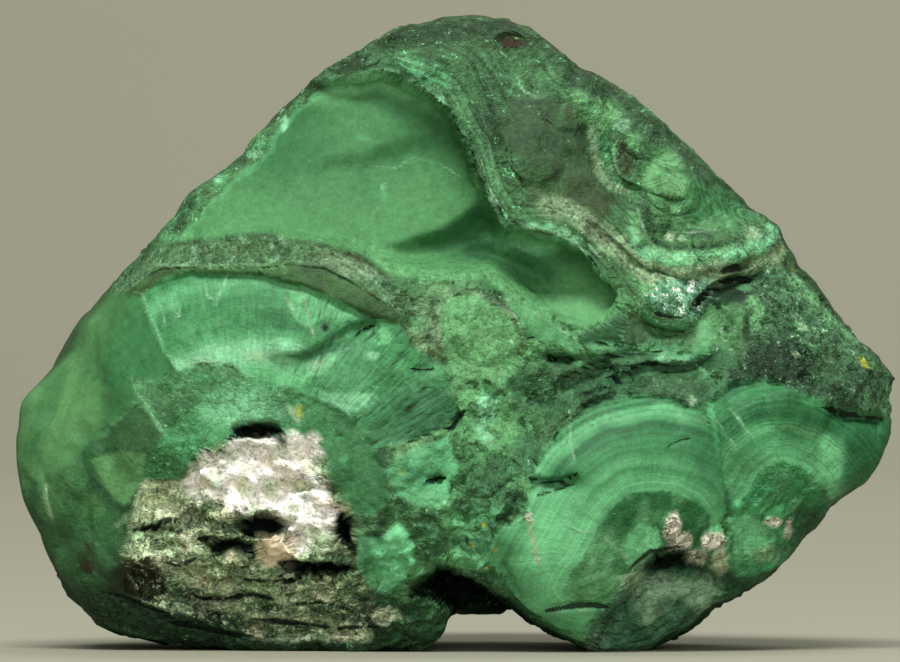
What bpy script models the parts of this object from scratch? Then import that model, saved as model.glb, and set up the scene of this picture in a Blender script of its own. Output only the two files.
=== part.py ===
"""Malachite specimen: one broken, weathered stone with a pocket of pale matrix, standing on its lower lobes.

The broken face looks along -Y. Points on it are (x, z) in millimetres, drawn for a stone 100 mm wide: x to
the right of the middle and z up from the lowest point of the outline. A depth is in millimetres too, and
runs back from the foremost point of the face.
"""

import math

import bmesh
import bpy
import numpy as np

MM = 0.001

# Driving dimensions, in millimetres
WIDTH = 100.0
DEPTH = 58.0
WORN_OFF = 0.7
DRAWN_WIDTH = 100.0

# How the round blank is spread over the stone
MIDDLE = (0.0, 33.0)
BLANK_LEVEL = 7
FRONT_SHARE = 0.68
EDGE_CROWDING = 0.8
KEPT_TRIANGLES = 8600

# How square the stone is from face to side and from side to back, by the direction from the middle in degrees
FACE_SQUARENESS = [
    (0, 3.4), (60, 3.2), (120, 3.6), (170, 3.0), (200, 3.2), (235, 4.2), (290, 5), (330, 4), (360, 3.4),
]
BACK_SQUARENESS = [(0, 2.6), (60, 2.3), (120, 2.5), (190, 2.6), (235, 4.5), (300, 4.5), (340, 2.8), (360, 2.6)]

OUTLINE = [
    (2, 73.6), (5.5, 73.5), (10, 71.2), (14, 67.5), (18.5, 65.3), (22, 63), (26, 59.5), (30, 55), (33.5, 52),
    (37, 49), (39.5, 45), (43.5, 40.3), (46.8, 36.3), (48.5, 34), (50.1, 32), (49.5, 29), (49.8, 26),
    (48.5, 22), (46.8, 19.5), (43.5, 17.3), (40.5, 14), (37, 10), (33, 7), (30, 5.2), (27, 2.9), (25, 1.6),
    (22.5, 0.4), (20, 0), (17, 0.4), (14, 1.3), (10.8, 2.8), (8.5, 4.1), (6.5, 5.8), (5, 4.8), (-0.2, 4.8),
    (-1.4, 4), (-2, 2), (-4, 1), (-8, 0.5), (-12, 0), (-18, 0.5), (-22, 0.8), (-29, 1.0), (-33, 1.4),
    (-37, 2), (-41.5, 3.6), (-45.3, 6.8), (-46.4, 10), (-47.4, 14), (-49.2, 18.5), (-50, 25), (-49.2, 28.7),
    (-46.5, 33), (-43.5, 38.3), (-40, 42.5), (-36.5, 46), (-32, 50), (-28, 54.5), (-24.2, 57.5),
    (-21.2, 62), (-16, 66.6), (-12, 69.1), (-7, 72), (0, 73.5),
]

# Depth of the widest section, by the direction from the middle in degrees
GIRTH_DEPTHS = [
    (0, 20), (45, 22), (90, 18), (135, 20), (180, 21), (225, 19), (254, 17), (263, 19), (270, 27),
    (281, 27), (289, 19), (297, 17), (330, 19), (360, 20),
]
BACK_EVENNESS = 7.0

# The face as it would be without its hollows, as (x, z, depth)
FACE = [
    (-33, 36, 3), (-26, 42, 2.5), (-20, 36, 1.5), (-12, 38, 2), (-10, 30, 2.5), (-40, 38, 5), (-38, 30, 5),
    (-45, 28, 8), (-44, 18, 8), (-40, 24, 5.5), (-30, 30, 3.5), (-20, 29, 3), (-13, 24, 3), (-28, 20, 3),
    (-20, 20, 2.5), (-33, 14, 4.5), (-22, 12, 4), (-12, 12, 3.5), (-25, 5, 8), (-38, 9, 8.5), (-12, 4, 7),
    (-6, 12, 2.5), (-3, 23, 2), (3, 20, 3), (5, 13, 2.5), (0, 36, 4), (4, 30, 4), (-5, 38, 3), (9, 38, 5.5),
    (8, 30, 5), (12, 22, 1), (20, 26, 1.5), (15, 12, 1), (24, 20, 1.5), (9, 12, 1.5), (13, 5, 3),
    (33, 28, 4), (37, 24, 4.5), (33, 20, 3), (38, 15, 6), (44, 24, 8), (30, 9, 6), (15, 33, 5), (24, 33, 6),
    (31, 33, 5), (36, 36, 8), (42, 36, 11), (45, 31, 10), (25, 41, 7), (30, 44, 10), (36, 44, 13),
    (-30, 46, 4), (-15, 44, 3), (-38, 44, 7), (-6, 68, 9.5), (1, 61, 6.5), (4, 53, 5), (10, 50, 5),
    (17, 46, 5), (21, 42, 5.5), (8, 63, 8), (12, 57, 7.5), (17, 61, 11), (20, 52, 8.5), (25, 55, 13),
    (28, 50, 12), (24, 46, 8), (33, 50, 15), (3, 71, 12), (-10, 69, 13), (11, 68, 13),
]

# The smooth scoop in the upper left of the face: its edge, and the depths of its floor
BOWL_EDGE = [
    (-42, 46), (-36, 46.6), (-30, 47.5), (-22, 48.2), (-15, 47), (-11, 45.8), (-7.8, 43.4), (-3, 42.5),
    (3, 42.7), (5.5, 41), (12, 37.8), (15, 37), (17.5, 38.3), (19.7, 40.2), (17, 43.5), (15, 45.8),
    (12, 48), (8, 49), (5.3, 49), (3.2, 53), (1.9, 55.8), (0, 60.3), (-1, 62.5), (-4, 65.1), (-8.5, 67.4),
    (-14, 66.2), (-16.5, 66.4), (-22, 70), (-45, 60),
]
BOWL_RIM_RAISED = 0.7
BOWL_FLOOR = [
    (-36, 48, 12), (-30, 52, 13.5), (-24, 57, 15), (-18, 62, 15.5), (-12, 65, 15.5), (-5, 65, 14.5),
    (-1, 61, 13), (2, 56, 11.5), (5, 50, 10.5), (10, 47.5, 11), (14, 45.5, 10.5), (18, 41, 9), (13, 39, 7.5),
    (8, 41, 9.5), (2, 43.5, 9.5), (-6, 45, 8.5), (-16, 49, 9.5), (-26, 50, 9.5), (-10, 56, 12.5),
    (-18, 55, 12), (-4, 51, 11.5), (3, 46.5, 12), (10, 43.5, 12),
]

# Soft ridges across the bowl as (line, drop, fall, fade): its floor falls back on the line's right side
BOWL_WAVES = [
    ([(-19, 55.5), (-14.5, 57.6), (-11, 58), (-7, 59.3), (-3, 60.4), (0, 61)], 1.1, 2.5, 5),
    ([(-11, 46.2), (-5, 48.2), (-1.5, 49.2), (0.5, 50.6), (2, 52), (3.6, 54.2)], 3.0, 2.6, 5),
    ([(-1.5, 46.6), (2.5, 47.3), (5, 46.6), (8, 45.4), (11.5, 43)], 1.0, 1.2, 3),
]

# The undercut right lobe and the hollow over it
UNDERCUT_EDGE = [
    (20.3, 10), (22.3, 12.4), (26.2, 12.8), (27, 11.2), (29.5, 10.8), (33, 9), (38, 8), (30, -3), (14, -3),
    (14.8, 2), (15.5, 4), (17, 5.8), (18.5, 7.5),
]
UNDERCUT_FLOOR = [
    (24, 11.5, 15), (28, 9.5, 12), (22, 6, 9.5), (30, 5, 11), (20, 2, 11), (26, 3, 11.5), (34, 9, 9),
]

# The deep gap between the two lower lobes
GAP_EDGE = [
    (-1.6, -2), (-1.4, 5.4), (-3, 6.6), (-5.5, 7.4), (-4.5, 9), (-2.6, 11.2), (0, 11), (3, 9.2), (6.5, 6.7),
    (10, 4.3), (13, 2.6), (16, 0), (16, -2),
]
GAP_DEPTH = 25.0

# The pocket of porous matrix in the lower left of the face
MATRIX_EDGE = [
    (-36.9, 16.5), (-35.4, 20), (-31.5, 20.3), (-29, 23.3), (-24.5, 25), (-20.5, 24.5), (-16, 25),
    (-14.5, 20), (-12, 16.5), (-11.5, 11), (-9.5, 7), (-10, 2), (-22, 2), (-36, 6), (-38, 11),
]
MATRIX_SUNK = 1.8

# Ledges as (line, drop, fade): the face falls back by drop on the line's right side, and recovers over fade
LEDGES = [
    ([(10.6, 31), (12.5, 32), (13.7, 32.6), (15.6, 33.5), (18.5, 34.2), (20, 34.4), (23.5, 34.9)], 2.2, 1.8),
    ([(17, 31.8), (18.5, 32.4), (20.3, 33), (21.5, 33.5), (23.5, 33.5), (26.8, 33.7), (29.5, 35)], 2.0, 1.6),
    ([(13.8, 34.9), (15.3, 35.7), (17, 35.8), (18, 36), (18.8, 35.5)], -1.2, 1.0),
    ([(20.3, 40.4), (22.5, 38.3), (25.5, 37.7), (27, 38.3), (29.5, 41.6)], 2.0, 2.4),
    ([(26.3, 39), (28, 41), (29.5, 42.3), (31, 43.2), (33.5, 44), (36, 44.5)], 2.6, 2.0),
    ([(8, 20.8), (10, 20.3), (12, 20.3), (14, 21.3)], 1.2, 1.6),
    ([(42, 28.7), (44, 28), (46, 27.8), (49, 27.3)], 2.4, 2.0),
    ([(-22, 34.3), (-17, 35), (-12, 38), (-9, 38.8)], 1.0, 4.0),
    ([(-38, 41.8), (-35, 42.5), (-30, 44.1), (-22, 43.8), (-17, 42.3), (-12, 40), (-6, 38.3)], 0.9, 3.0),
    ([(17, 66.5), (18, 63), (17.5, 58), (19, 54.5), (23, 53), (27, 52.5)], 1.6, 4.0),
    ([(14, 51), (18, 47.6), (21, 45), (26, 43.6), (31, 44.6)], 1.2, 2.5),
    ([(9.2, 23.5), (11.5, 26.5), (14, 28.8), (18, 30.3), (24, 30), (28, 28.4)], 1.0, 3.0),
    ([(28.5, 29), (31, 31.4), (34.5, 32), (38, 31)], 1.0, 3.0),
    ([(-36.5, 15), (-33, 15.2), (-30, 15.6)], 2.4, 1.8),
    ([(-36, 10.5), (-30, 9.8), (-24, 8.6), (-18, 8)], 2.0, 2.5),
    ([(-41, 7.5), (-36, 6.2), (-30, 4), (-25, 2.6)], 1.5, 2.0),
]

# Holes as (x, z, half width, half height, depth)
HOLES = [
    (-22.6, 26, 2.8, 0.9, 4.0),
    (-22.3, 15.2, 2.7, 1.2, 6.0),
    (-26, 12.6, 2.6, 0.9, 3.0),
    (-12.8, 15, 1.1, 1.9, 4.0),
    (-15.8, 10.3, 4.2, 0.9, 5.0),
    (-36.3, 9.2, 2.4, 2.2, 2.5),
    (11.2, 34, 1.6, 1.3, 3.0),
    (6.3, 70.5, 1.8, 1.1, 1.6),
    (19.5, 57, 1.4, 2.1, 1.4),
    (-2.4, 20.4, 1.2, 0.6, 1.8),
    (-9.8, 9.5, 1.0, 2.2, 1.6),
]

# Swellings of the weathered skin as (x, z, radius, height)
KNOBS = [
    (25, 54, 3.4, 1.8),
    (21, 50.3, 3.2, 1.4),
    (30.5, 47.5, 3.4, 1.6),
    (13, 64, 3.8, 1.5),
    (-4, 69.6, 3.6, 1.3),
    (21.5, 60, 3.0, 1.3),
    (9, 58, 4.2, 1.2),
    (33, 39.5, 3.2, 1.0),
    (41, 37.5, 3.4, 1.2),
    (2.5, 22.5, 3.6, 1.2),
    (37, 15.3, 2.4, 1.0),
    (29.3, 13.2, 1.8, 1.1),
    (24.8, 14.8, 1.8, 0.9),
    (-20.8, 12.4, 2.4, 2.0),
    (-43.5, 22, 3.5, 1.0),
    (37.4, 28.6, 2.4, 0.8),
    (3.5, 38, 4.5, 0.9),
]

# The back, as (x, z, share of the full depth)
BACK = [
    (0, 33, 0.98), (-22, 22, 0.97), (24, 20, 0.9), (-4, 58, 0.86), (-34, 40, 0.85), (26, 46, 0.82),
    (2, 8, 0.9), (-40, 14, 0.86), (40, 26, 0.84), (10, 40, 1.0), (-16, 44, 0.9),
]

# Broken faces on the back as (x, z, radius, depth), with the land falling away from each one's upper edge
SCARS = [
    (22, 30, 17, 5.0),
    (-24, 47, 14, 4.0),
    (-14, 14, 12, 3.5),
]

# The rough skin as (size of the lumps, height)
ROUGHNESS = [(17, 1.1), (7.5, 0.75), (3.6, 0.42), (1.9, 0.2)]
SMOOTH_PLACES_ROUGHNESS = 0.12
OUTLINE_ROUGHNESS = 0.3
MATRIX_ROUGHNESS = 1.5


def smooth(start, end, value):
    """0 up to start and 1 from end, with a soft rise between."""
    share = np.clip((value - start) / (end - start), 0, 1)
    return share * share * (3 - 2 * share)


def near(x, z, line):
    """Distance from an open line, positive on its right hand and negative on its left, and how far along it."""
    best = np.full(x.shape, 1e9)
    lean = np.zeros(x.shape)
    along = np.zeros(x.shape)
    for number, ((ax, az), (bx, bz)) in enumerate(zip(line, line[1:])):
        dx, dz = bx - ax, bz - az
        share = np.clip(((x - ax) * dx + (z - az) * dz) / (dx * dx + dz * dz), 0, 1)
        distance = np.hypot(x - ax - share * dx, z - az - share * dz)
        off = (dz * (x - ax) - dx * (z - az)) / math.hypot(dx, dz)
        level = np.abs(distance - best) < 1e-9
        closer = np.where(level, np.abs(off) > np.abs(lean), distance < best)
        best = np.where(closer, distance, best)
        lean = np.where(closer, off, lean)
        along = np.where(closer, (number + share) / (len(line) - 1), along)
    return best * np.where(lean < 0, -1, 1), along


def inside(x, z, ring):
    """Distance inwards from a closed outline: positive within it and negative outside."""
    best = np.abs(near(x, z, ring + ring[:1])[0])
    within = np.zeros(x.shape, bool)
    for (ax, az), (bx, bz) in zip(ring, ring[1:] + ring[:1]):
        if az != bz:
            within ^= ((az > z) != (bz > z)) & (x < (bx - ax) * (z - az) / (bz - az) + ax)
    return np.where(within, best, -best)


def sheet(points, x, z):
    """Depth at x and z of the smoothest sheet through points of (x, z, depth)."""
    known = np.array(points, float)
    count = len(known)

    def bend(square):
        return square * np.log(square + 1e-6)

    gaps = known[:, None, :2] - known[None, :, :2]
    system = np.zeros((count + 3, count + 3))
    system[:count, :count] = bend((gaps**2).sum(axis=2)) + np.eye(count) * 8
    system[:count, count] = system[count, :count] = 1
    system[:count, count + 1 :] = known[:, :2]
    system[count + 1 :, :count] = known[:, :2].T
    weights = np.linalg.solve(system, np.append(known[:, 2], [0, 0, 0]))
    depth = weights[count] + weights[count + 1] * x + weights[count + 2] * z
    for (px, pz, _), weight in zip(points, weights):
        depth = depth + weight * bend((x - px) ** 2 + (z - pz) ** 2)
    return depth


def lattice(x, y, z, seed):
    """A repeatable random value from -1 to 1 for each place on a whole-numbered grid."""
    mixed = (x * 374761393 + y * 668265263 + z * 1274126177 + seed * 974634777) & 0xFFFFFFFF
    mixed = ((mixed ^ (mixed >> 13)) * 1103515245) & 0xFFFFFFFF
    mixed = ((mixed ^ (mixed >> 16)) * 1845824339) & 0xFFFFFFFF
    return (mixed ^ (mixed >> 15)) / 2147483648.0 - 1


def noise(points, size, seed):
    """Soft random lumps about size across, from -1 to 1. The grid is turned, so that it doesn't show."""
    turn = seed * 0.7 + 0.5
    cosine, sine = math.cos(turn), math.sin(turn)
    turned = points @ np.array([[cosine, -sine, 0], [sine, cosine, 0], [0, 0, 1]])
    turned = turned @ np.array([[1, 0, 0], [0, cosine, -sine], [0, sine, cosine]])
    place = turned / size
    low = np.floor(place).astype(np.int64)
    part = place - low
    part = part * part * part * (part * (part * 6 - 15) + 10)
    total = np.zeros(len(points))
    for corner in range(8):
        step = np.array([corner & 1, corner >> 1 & 1, corner >> 2])
        share = np.prod(np.where(step, part, 1 - part), axis=1)
        total += share * lattice(*(low + step).T, seed)
    return total


def face_depth(x, z):
    """Depth of the broken face at x and z, with its bowl, hollows, ledges, holes and knobs."""
    depth = sheet(FACE, x, z)

    inwards = inside(x, z, BOWL_EDGE)
    slope = 1.0 + 4.0 * smooth(49, 44, z) * smooth(12, 4, x)
    floor = sheet(BOWL_FLOOR, x, z)
    for line, drop, fall, fade in BOWL_WAVES:
        behind, along = near(x, z, line)
        taper = smooth(0, 0.2, along) * smooth(1, 0.8, along)
        floor += drop * taper * smooth(-0.2, fall, behind) * np.exp(-((behind / fade) ** 2))
    depth += (floor - depth) * smooth(0, 1, inwards / slope)
    depth -= BOWL_RIM_RAISED * np.exp(-((inwards + 0.5) ** 2)) * smooth(44, 50, z)

    inwards = inside(x, z, UNDERCUT_EDGE)
    depth += (sheet(UNDERCUT_FLOOR, x, z) - depth) * smooth(0, 1.2, inwards)

    depth += MATRIX_SUNK * smooth(-0.4, 1.2, inside(x, z, MATRIX_EDGE))

    for line, drop, fade in LEDGES:
        behind, along = near(x, z, line)
        taper = smooth(0, 0.12, along) * smooth(1, 0.88, along)
        depth += drop * taper * smooth(-0.2, 0.3, behind) * np.exp(-((behind / fade) ** 2))

    for px, pz, half_width, half_height, deep in HOLES:
        reach = np.hypot((x - px) / half_width, (z - pz) / half_height)
        depth += deep * smooth(1.15, 0.65, reach)

    for px, pz, radius, height in KNOBS:
        reach = np.hypot(x - px, z - pz) / radius
        depth -= height * np.sqrt(np.clip(1 - reach * reach, 0, 1))

    inwards = inside(x, z, GAP_EDGE)
    depth += (GAP_DEPTH - depth) * smooth(0, 1.4, inwards)
    return depth


def back_depth(x, z):
    """How far back the stone would reach at x and z if its sides didn't round off."""
    depth = DEPTH * sheet(BACK, x, z)
    for px, pz, radius, deep in SCARS:
        reach = np.hypot(x - px, z - pz) / radius
        depth -= deep * smooth(1, 0.55, reach) * smooth(-1.1, 0.7, (z - pz) / radius + 0.4)
    return depth


def outline_reach(degrees):
    """Distance from the middle to the outline in each direction."""
    outline = np.array(OUTLINE) - MIDDLE
    directions = np.degrees(np.arctan2(outline[:, 1], outline[:, 0])) % 360
    order = np.argsort(directions)
    return np.interp(degrees, directions[order], np.hypot(*outline[order].T), period=360)


def even_reach(degrees):
    """The same with the gap between the lobes and the small corners evened out, for the back."""
    turns = np.linspace(-2, 2, 9)
    shares = np.exp(-turns * turns / 2)
    evened = sum(part * outline_reach(degrees + turn * BACK_EVENNESS) for part, turn in zip(shares, turns))
    return evened / shares.sum()


def stone_form(blank):
    """Places on the stone for the points of a ball of radius 1, with no rough skin yet. Fullness is 0 at the
    stone's widest section and 1 where the face or the back lies flat.
    """
    share = (1 + blank[:, 1]) / 2
    front = share < FRONT_SHARE
    step = np.sqrt(np.where(front, share / FRONT_SHARE, (1 - share) / (1 - FRONT_SHARE)))
    out = EDGE_CROWDING * np.sin(step * math.pi / 2) + (1 - EDGE_CROWDING) * step
    angle = np.arctan2(blank[:, 2], blank[:, 0])
    degrees = np.degrees(angle) % 360
    girth_depth = np.interp(degrees, *np.array(GIRTH_DEPTHS, float).T)
    evenness = np.where(front, 0, smooth(1, 0.86, out))
    reach = outline_reach(degrees) * (1 - evenness) + even_reach(degrees) * evenness
    x = MIDDLE[0] + out * reach * np.cos(angle)
    z = MIDDLE[1] + out * reach * np.sin(angle)
    face_squareness = np.interp(degrees, *np.array(FACE_SQUARENESS, float).T)
    back_squareness = np.interp(degrees, *np.array(BACK_SQUARENESS, float).T)
    squareness = np.where(front, face_squareness, back_squareness)
    fullness = np.clip(1 - out**squareness, 0, 1) ** (1 / squareness)
    far = np.where(front, face_depth(x, z), back_depth(x, z))
    return np.column_stack([x, girth_depth + (far - girth_depth) * fullness, z]), front, out, fullness


def calmness(x, z, front, out):
    """1 where the stone is smooth, as in the bowl and on the cut fans, and 0 on its rough skin."""
    bowl = smooth(0.5, 3, inside(x, z, BOWL_EDGE))
    left_fan = smooth(15, 10, np.hypot((x + 21) / 1.5, z - 36))
    right_fan = smooth(15, 11, np.hypot(x - 20, z - 17))
    calm = np.maximum(bowl, np.maximum(left_fan, right_fan) * 0.9)
    return np.where(front, calm * smooth(1, 0.85, out), 0)


def rough_skin(points, front, out, fullness):
    """Height of the rough skin over the form at each point."""
    x, z = points[:, 0], points[:, 2]
    height = sum(tall * noise(points, size, seed) for seed, (size, tall) in enumerate(ROUGHNESS))
    height *= 1 - (1 - SMOOTH_PLACES_ROUGHNESS) * calmness(x, z, front, out)
    height *= 1 - (1 - OUTLINE_ROUGHNESS) * smooth(0.35, 0.1, fullness)
    matrix = np.where(front, smooth(0, 1.5, inside(x, z, MATRIX_EDGE)), 0)
    layers = np.column_stack([x * 0.45, points[:, 1], z])
    height += MATRIX_ROUGHNESS * matrix * (0.6 * noise(layers, 2.6, 11) + 0.4 * noise(points, 1.6, 12))
    return height


def material(name, colour, roughness):
    made = bpy.data.materials.new(name)
    made.use_nodes = True
    shader = made.node_tree.nodes["Principled BSDF"]
    shader.inputs["Base Color"].default_value = (*colour, 1)
    shader.inputs["Roughness"].default_value = roughness
    shader.inputs["Metallic"].default_value = 0
    made.diffuse_color = (*colour, 1)
    return made


def collection(name):
    made = bpy.data.collections.new(name)
    bpy.context.scene.collection.children.link(made)
    return made


def stone(holder):
    """The whole stone, still with its rounded underside."""
    ball = bmesh.new()
    bmesh.ops.create_icosphere(ball, subdivisions=BLANK_LEVEL, radius=1)
    mesh = bpy.data.meshes.new("malachite")
    ball.to_mesh(mesh)
    ball.free()

    blank = np.empty(len(mesh.vertices) * 3)
    mesh.vertices.foreach_get("co", blank)
    points, front, out, fullness = stone_form(blank.reshape(-1, 3))
    mesh.vertices.foreach_set("co", points.ravel())
    mesh.update()
    normals = np.empty(len(mesh.vertices) * 3)
    mesh.vertex_normals.foreach_get("vector", normals)
    points = points + normals.reshape(-1, 3) * rough_skin(points, front, out, fullness)[:, None]
    mesh.vertices.foreach_set("co", (points * MM * WIDTH / DRAWN_WIDTH).ravel())
    mesh.update()

    made = bpy.data.objects.new("malachite", mesh)
    holder.objects.link(made)
    thinned = made.modifiers.new("fewer_faces", "DECIMATE")
    thinned.ratio = KEPT_TRIANGLES / len(mesh.polygons)
    mesh.materials.append(material("malachite_green", (0.09, 0.27, 0.12), 0.5))
    mesh.shade_smooth()
    mesh.set_sharp_from_angle(angle=math.radians(35))
    return made


def worn_underside(made, holder):
    """Flats that the lobes stand on, all at one height."""
    side = 2 * WIDTH * MM
    cutter = bpy.data.meshes.new("ground_cut")
    block = bmesh.new()
    bmesh.ops.create_cube(block, size=side)
    bmesh.ops.translate(block, verts=block.verts, vec=(0, 0, WORN_OFF * MM - side / 2))
    block.to_mesh(cutter)
    block.free()
    tool = bpy.data.objects.new("ground_cut", cutter)
    tool.hide_render = True
    tool.display_type = "WIRE"
    holder.objects.link(tool)
    cut = made.modifiers.new("worn_flats", "BOOLEAN")
    cut.operation = "DIFFERENCE"
    cut.solver = "EXACT"
    cut.object = tool
    return tool


def stand_at_origin(made, tool):
    """Puts the middle of the stone's box over the origin, and its flats on the ground."""
    bpy.context.view_layer.update()
    corners = np.array(made.evaluated_get(bpy.context.evaluated_depsgraph_get()).bound_box)
    low, high = corners.min(axis=0), corners.max(axis=0)
    made.location = (-(low[0] + high[0]) / 2, -(low[1] + high[1]) / 2, -low[2])
    tool.location = made.location


for old in list(bpy.data.objects):
    bpy.data.objects.remove(old, do_unlink=True)
specimen = stone(collection("malachite_specimen"))
ground = worn_underside(specimen, collection("cutters"))
stand_at_origin(specimen, ground)
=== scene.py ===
"""The malachite specimen dressed for the render: the stone's fine shape, its painted growth and its stage.

The shape repeats the named values and functions of the stone's construction, on a mesh fine enough for
ledges, fibres and pores. Points on the broken face are (x, z) in millimetres, drawn for a stone 100 mm
wide: x to the right of the middle and z up from the lowest point of the outline. A depth runs back from
the foremost point of the face.
"""

import math

import bmesh
import bpy
import numpy as np
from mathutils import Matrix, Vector


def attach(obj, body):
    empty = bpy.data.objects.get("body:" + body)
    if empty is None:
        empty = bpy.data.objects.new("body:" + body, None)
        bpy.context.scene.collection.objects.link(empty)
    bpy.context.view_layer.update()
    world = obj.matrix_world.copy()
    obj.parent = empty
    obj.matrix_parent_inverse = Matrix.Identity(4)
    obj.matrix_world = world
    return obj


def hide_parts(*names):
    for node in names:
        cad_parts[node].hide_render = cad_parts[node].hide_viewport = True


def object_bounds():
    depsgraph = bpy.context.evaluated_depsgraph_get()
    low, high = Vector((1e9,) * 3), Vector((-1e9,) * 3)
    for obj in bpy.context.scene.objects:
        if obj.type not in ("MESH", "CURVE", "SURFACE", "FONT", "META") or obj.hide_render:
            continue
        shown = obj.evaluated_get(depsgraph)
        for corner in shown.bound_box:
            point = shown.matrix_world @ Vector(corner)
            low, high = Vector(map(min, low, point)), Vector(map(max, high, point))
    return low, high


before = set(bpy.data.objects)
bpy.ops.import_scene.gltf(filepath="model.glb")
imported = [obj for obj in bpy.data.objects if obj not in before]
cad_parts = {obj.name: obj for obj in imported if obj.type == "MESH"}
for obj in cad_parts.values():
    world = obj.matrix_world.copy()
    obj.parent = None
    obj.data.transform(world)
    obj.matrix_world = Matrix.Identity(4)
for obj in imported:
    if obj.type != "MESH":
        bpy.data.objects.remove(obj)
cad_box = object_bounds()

MM = 0.001
DEPTH = 58.0
WORN_OFF = 0.7

# How the blank ball is divided, and spread over the stone
BLANK_CUTS = 127
MIDDLE = (0.0, 33.0)
FRONT_SHARE = 0.76
EDGE_CROWDING = 0.8

# How square the stone is from face to side and from side to back, by the direction in degrees
FACE_SQUARENESS = [
    (0, 3.4), (60, 3.2), (120, 3.6), (170, 3.0), (200, 3.2), (235, 4.2), (290, 5), (330, 4), (360, 3.4),
]
BACK_SQUARENESS = [
    (0, 2.6), (60, 2.3), (120, 2.5), (190, 2.6), (235, 4.5), (300, 4.5), (340, 2.8), (360, 2.6),
]

OUTLINE = [
    (2, 73.6), (5.5, 73.5), (10, 71.2), (14, 67.5), (18.5, 65.3), (22, 63), (26, 59.5), (30, 55),
    (33.5, 52), (37, 49), (39.5, 45), (43.5, 40.3), (46.8, 36.3), (48.5, 34), (50.1, 32), (49.5, 29),
    (49.8, 26), (48.5, 22), (46.8, 19.5), (43.5, 17.3), (40.5, 14), (37, 10), (33, 7), (30, 5.2), (27, 2.9),
    (25, 1.6), (22.5, 0.4), (20, 0), (17, 0.4), (14, 1.3), (10.8, 2.8), (8.5, 4.1), (6.5, 5.8), (5, 4.8),
    (-0.2, 4.8), (-1.4, 4), (-2, 2), (-4, 1), (-8, 0.5), (-12, 0), (-18, 0.5), (-22, 0.8), (-29, 1.0),
    (-33, 1.4), (-37, 2), (-41.5, 3.6), (-45.3, 6.8), (-46.4, 10), (-47.4, 14), (-49.2, 18.5), (-50, 25),
    (-49.2, 28.7), (-46.5, 33), (-43.5, 38.3), (-40, 42.5), (-36.5, 46), (-32, 50), (-28, 54.5),
    (-24.2, 57.5), (-21.2, 62), (-16, 66.6), (-12, 69.1), (-7, 72), (0, 73.5),
]

# Depth of the widest section, by the direction from the middle in degrees
GIRTH_DEPTHS = [
    (0, 20), (45, 22), (90, 18), (135, 20), (180, 21), (225, 19), (254, 17), (263, 19), (270, 27),
    (281, 27), (289, 19), (297, 17), (330, 19), (360, 20),
]
BACK_EVENNESS = 7.0

# The face as it would be without its hollows, as (x, z, depth)
FACE = [
    (-33, 36, 3), (-26, 42, 2.5), (-20, 36, 1.5), (-12, 38, 2), (-10, 30, 2.5), (-40, 38, 5), (-38, 30, 5),
    (-45, 28, 8), (-44, 18, 8), (-40, 24, 5.5), (-30, 30, 3.5), (-20, 29, 3), (-13, 24, 3), (-28, 20, 3),
    (-20, 20, 2.5), (-33, 14, 4.5), (-22, 12, 4), (-12, 12, 3.5), (-25, 5, 8), (-38, 9, 8.5), (-12, 4, 7),
    (-6, 12, 2.5), (-3, 23, 2), (3, 20, 3), (5, 13, 2.5), (0, 36, 4), (4, 30, 4), (-5, 38, 3), (9, 38, 5.5),
    (8, 30, 5), (12, 22, 1), (20, 26, 1.5), (15, 12, 1), (24, 20, 1.5), (9, 12, 1.5), (13, 5, 3),
    (33, 28, 4), (37, 24, 4.5), (33, 20, 3), (38, 15, 6), (44, 24, 8), (30, 9, 6), (15, 33, 5), (24, 33, 6),
    (31, 33, 5), (36, 36, 8), (42, 36, 11), (45, 31, 10), (25, 41, 7), (30, 44, 10), (36, 44, 13),
    (-30, 46, 4), (-15, 44, 3), (-38, 44, 7), (-6, 68, 9.5), (1, 61, 6.5), (4, 53, 5), (10, 50, 5),
    (17, 46, 5), (21, 42, 5.5), (8, 63, 8), (12, 57, 7.5), (17, 61, 11), (20, 52, 8.5), (25, 55, 13),
    (28, 50, 12), (24, 46, 8), (33, 50, 15), (3, 71, 12), (-10, 69, 13), (11, 68, 13),
]

# The smooth scoop in the upper left of the face: its edge, and the depths of its floor
BOWL_EDGE = [
    (-42, 46), (-36, 46.6), (-30, 47.5), (-22, 48.2), (-15, 47), (-11, 45.8), (-7.8, 43.4), (-3, 42.5),
    (3, 42.7), (5.5, 41), (12, 37.8), (15, 37), (17.5, 38.3), (19.7, 40.2), (17, 43.5), (15, 45.8),
    (12, 48), (8, 49), (5.3, 49), (3.2, 53), (1.9, 55.8), (0, 60.3), (-1, 62.5), (-4, 65.1), (-8.5, 67.4),
    (-14, 66.2), (-16.5, 66.4), (-22, 70), (-45, 60),
]
BOWL_FLOOR = [
    (-36, 48, 12), (-30, 52, 13.5), (-24, 57, 15), (-18, 62, 15.5), (-12, 65, 15.5), (-5, 65, 14.5),
    (-1, 61, 13), (2, 56, 11.5), (5, 50, 10.5), (10, 47.5, 11), (14, 45.5, 10.5), (18, 41, 9),
    (13, 39, 7.5), (8, 41, 9.5), (2, 43.5, 9.5), (-6, 45, 8.5), (-16, 49, 9.5), (-26, 50, 9.5),
    (-10, 56, 12.5), (-18, 55, 12), (-4, 51, 11.5), (3, 46.5, 12), (10, 43.5, 12),
]

# Soft ridges across the bowl as (line, drop, fall, fade): its floor falls back on the line's right side
BOWL_WAVES = [
    ([(-19, 55.5), (-14.5, 57.6), (-11, 58), (-7, 59.3), (-3, 60.4), (0, 61)], 1.1, 2.5, 5),
    ([(-11, 46.2), (-5, 48.2), (-1.5, 49.2), (0.5, 50.6), (2, 52), (3.6, 54.2)], 3.0, 2.6, 5),
    ([(-1.5, 46.6), (2.5, 47.3), (5, 46.6), (8, 45.4), (11.5, 43)], 1.0, 1.2, 3),
]

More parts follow.
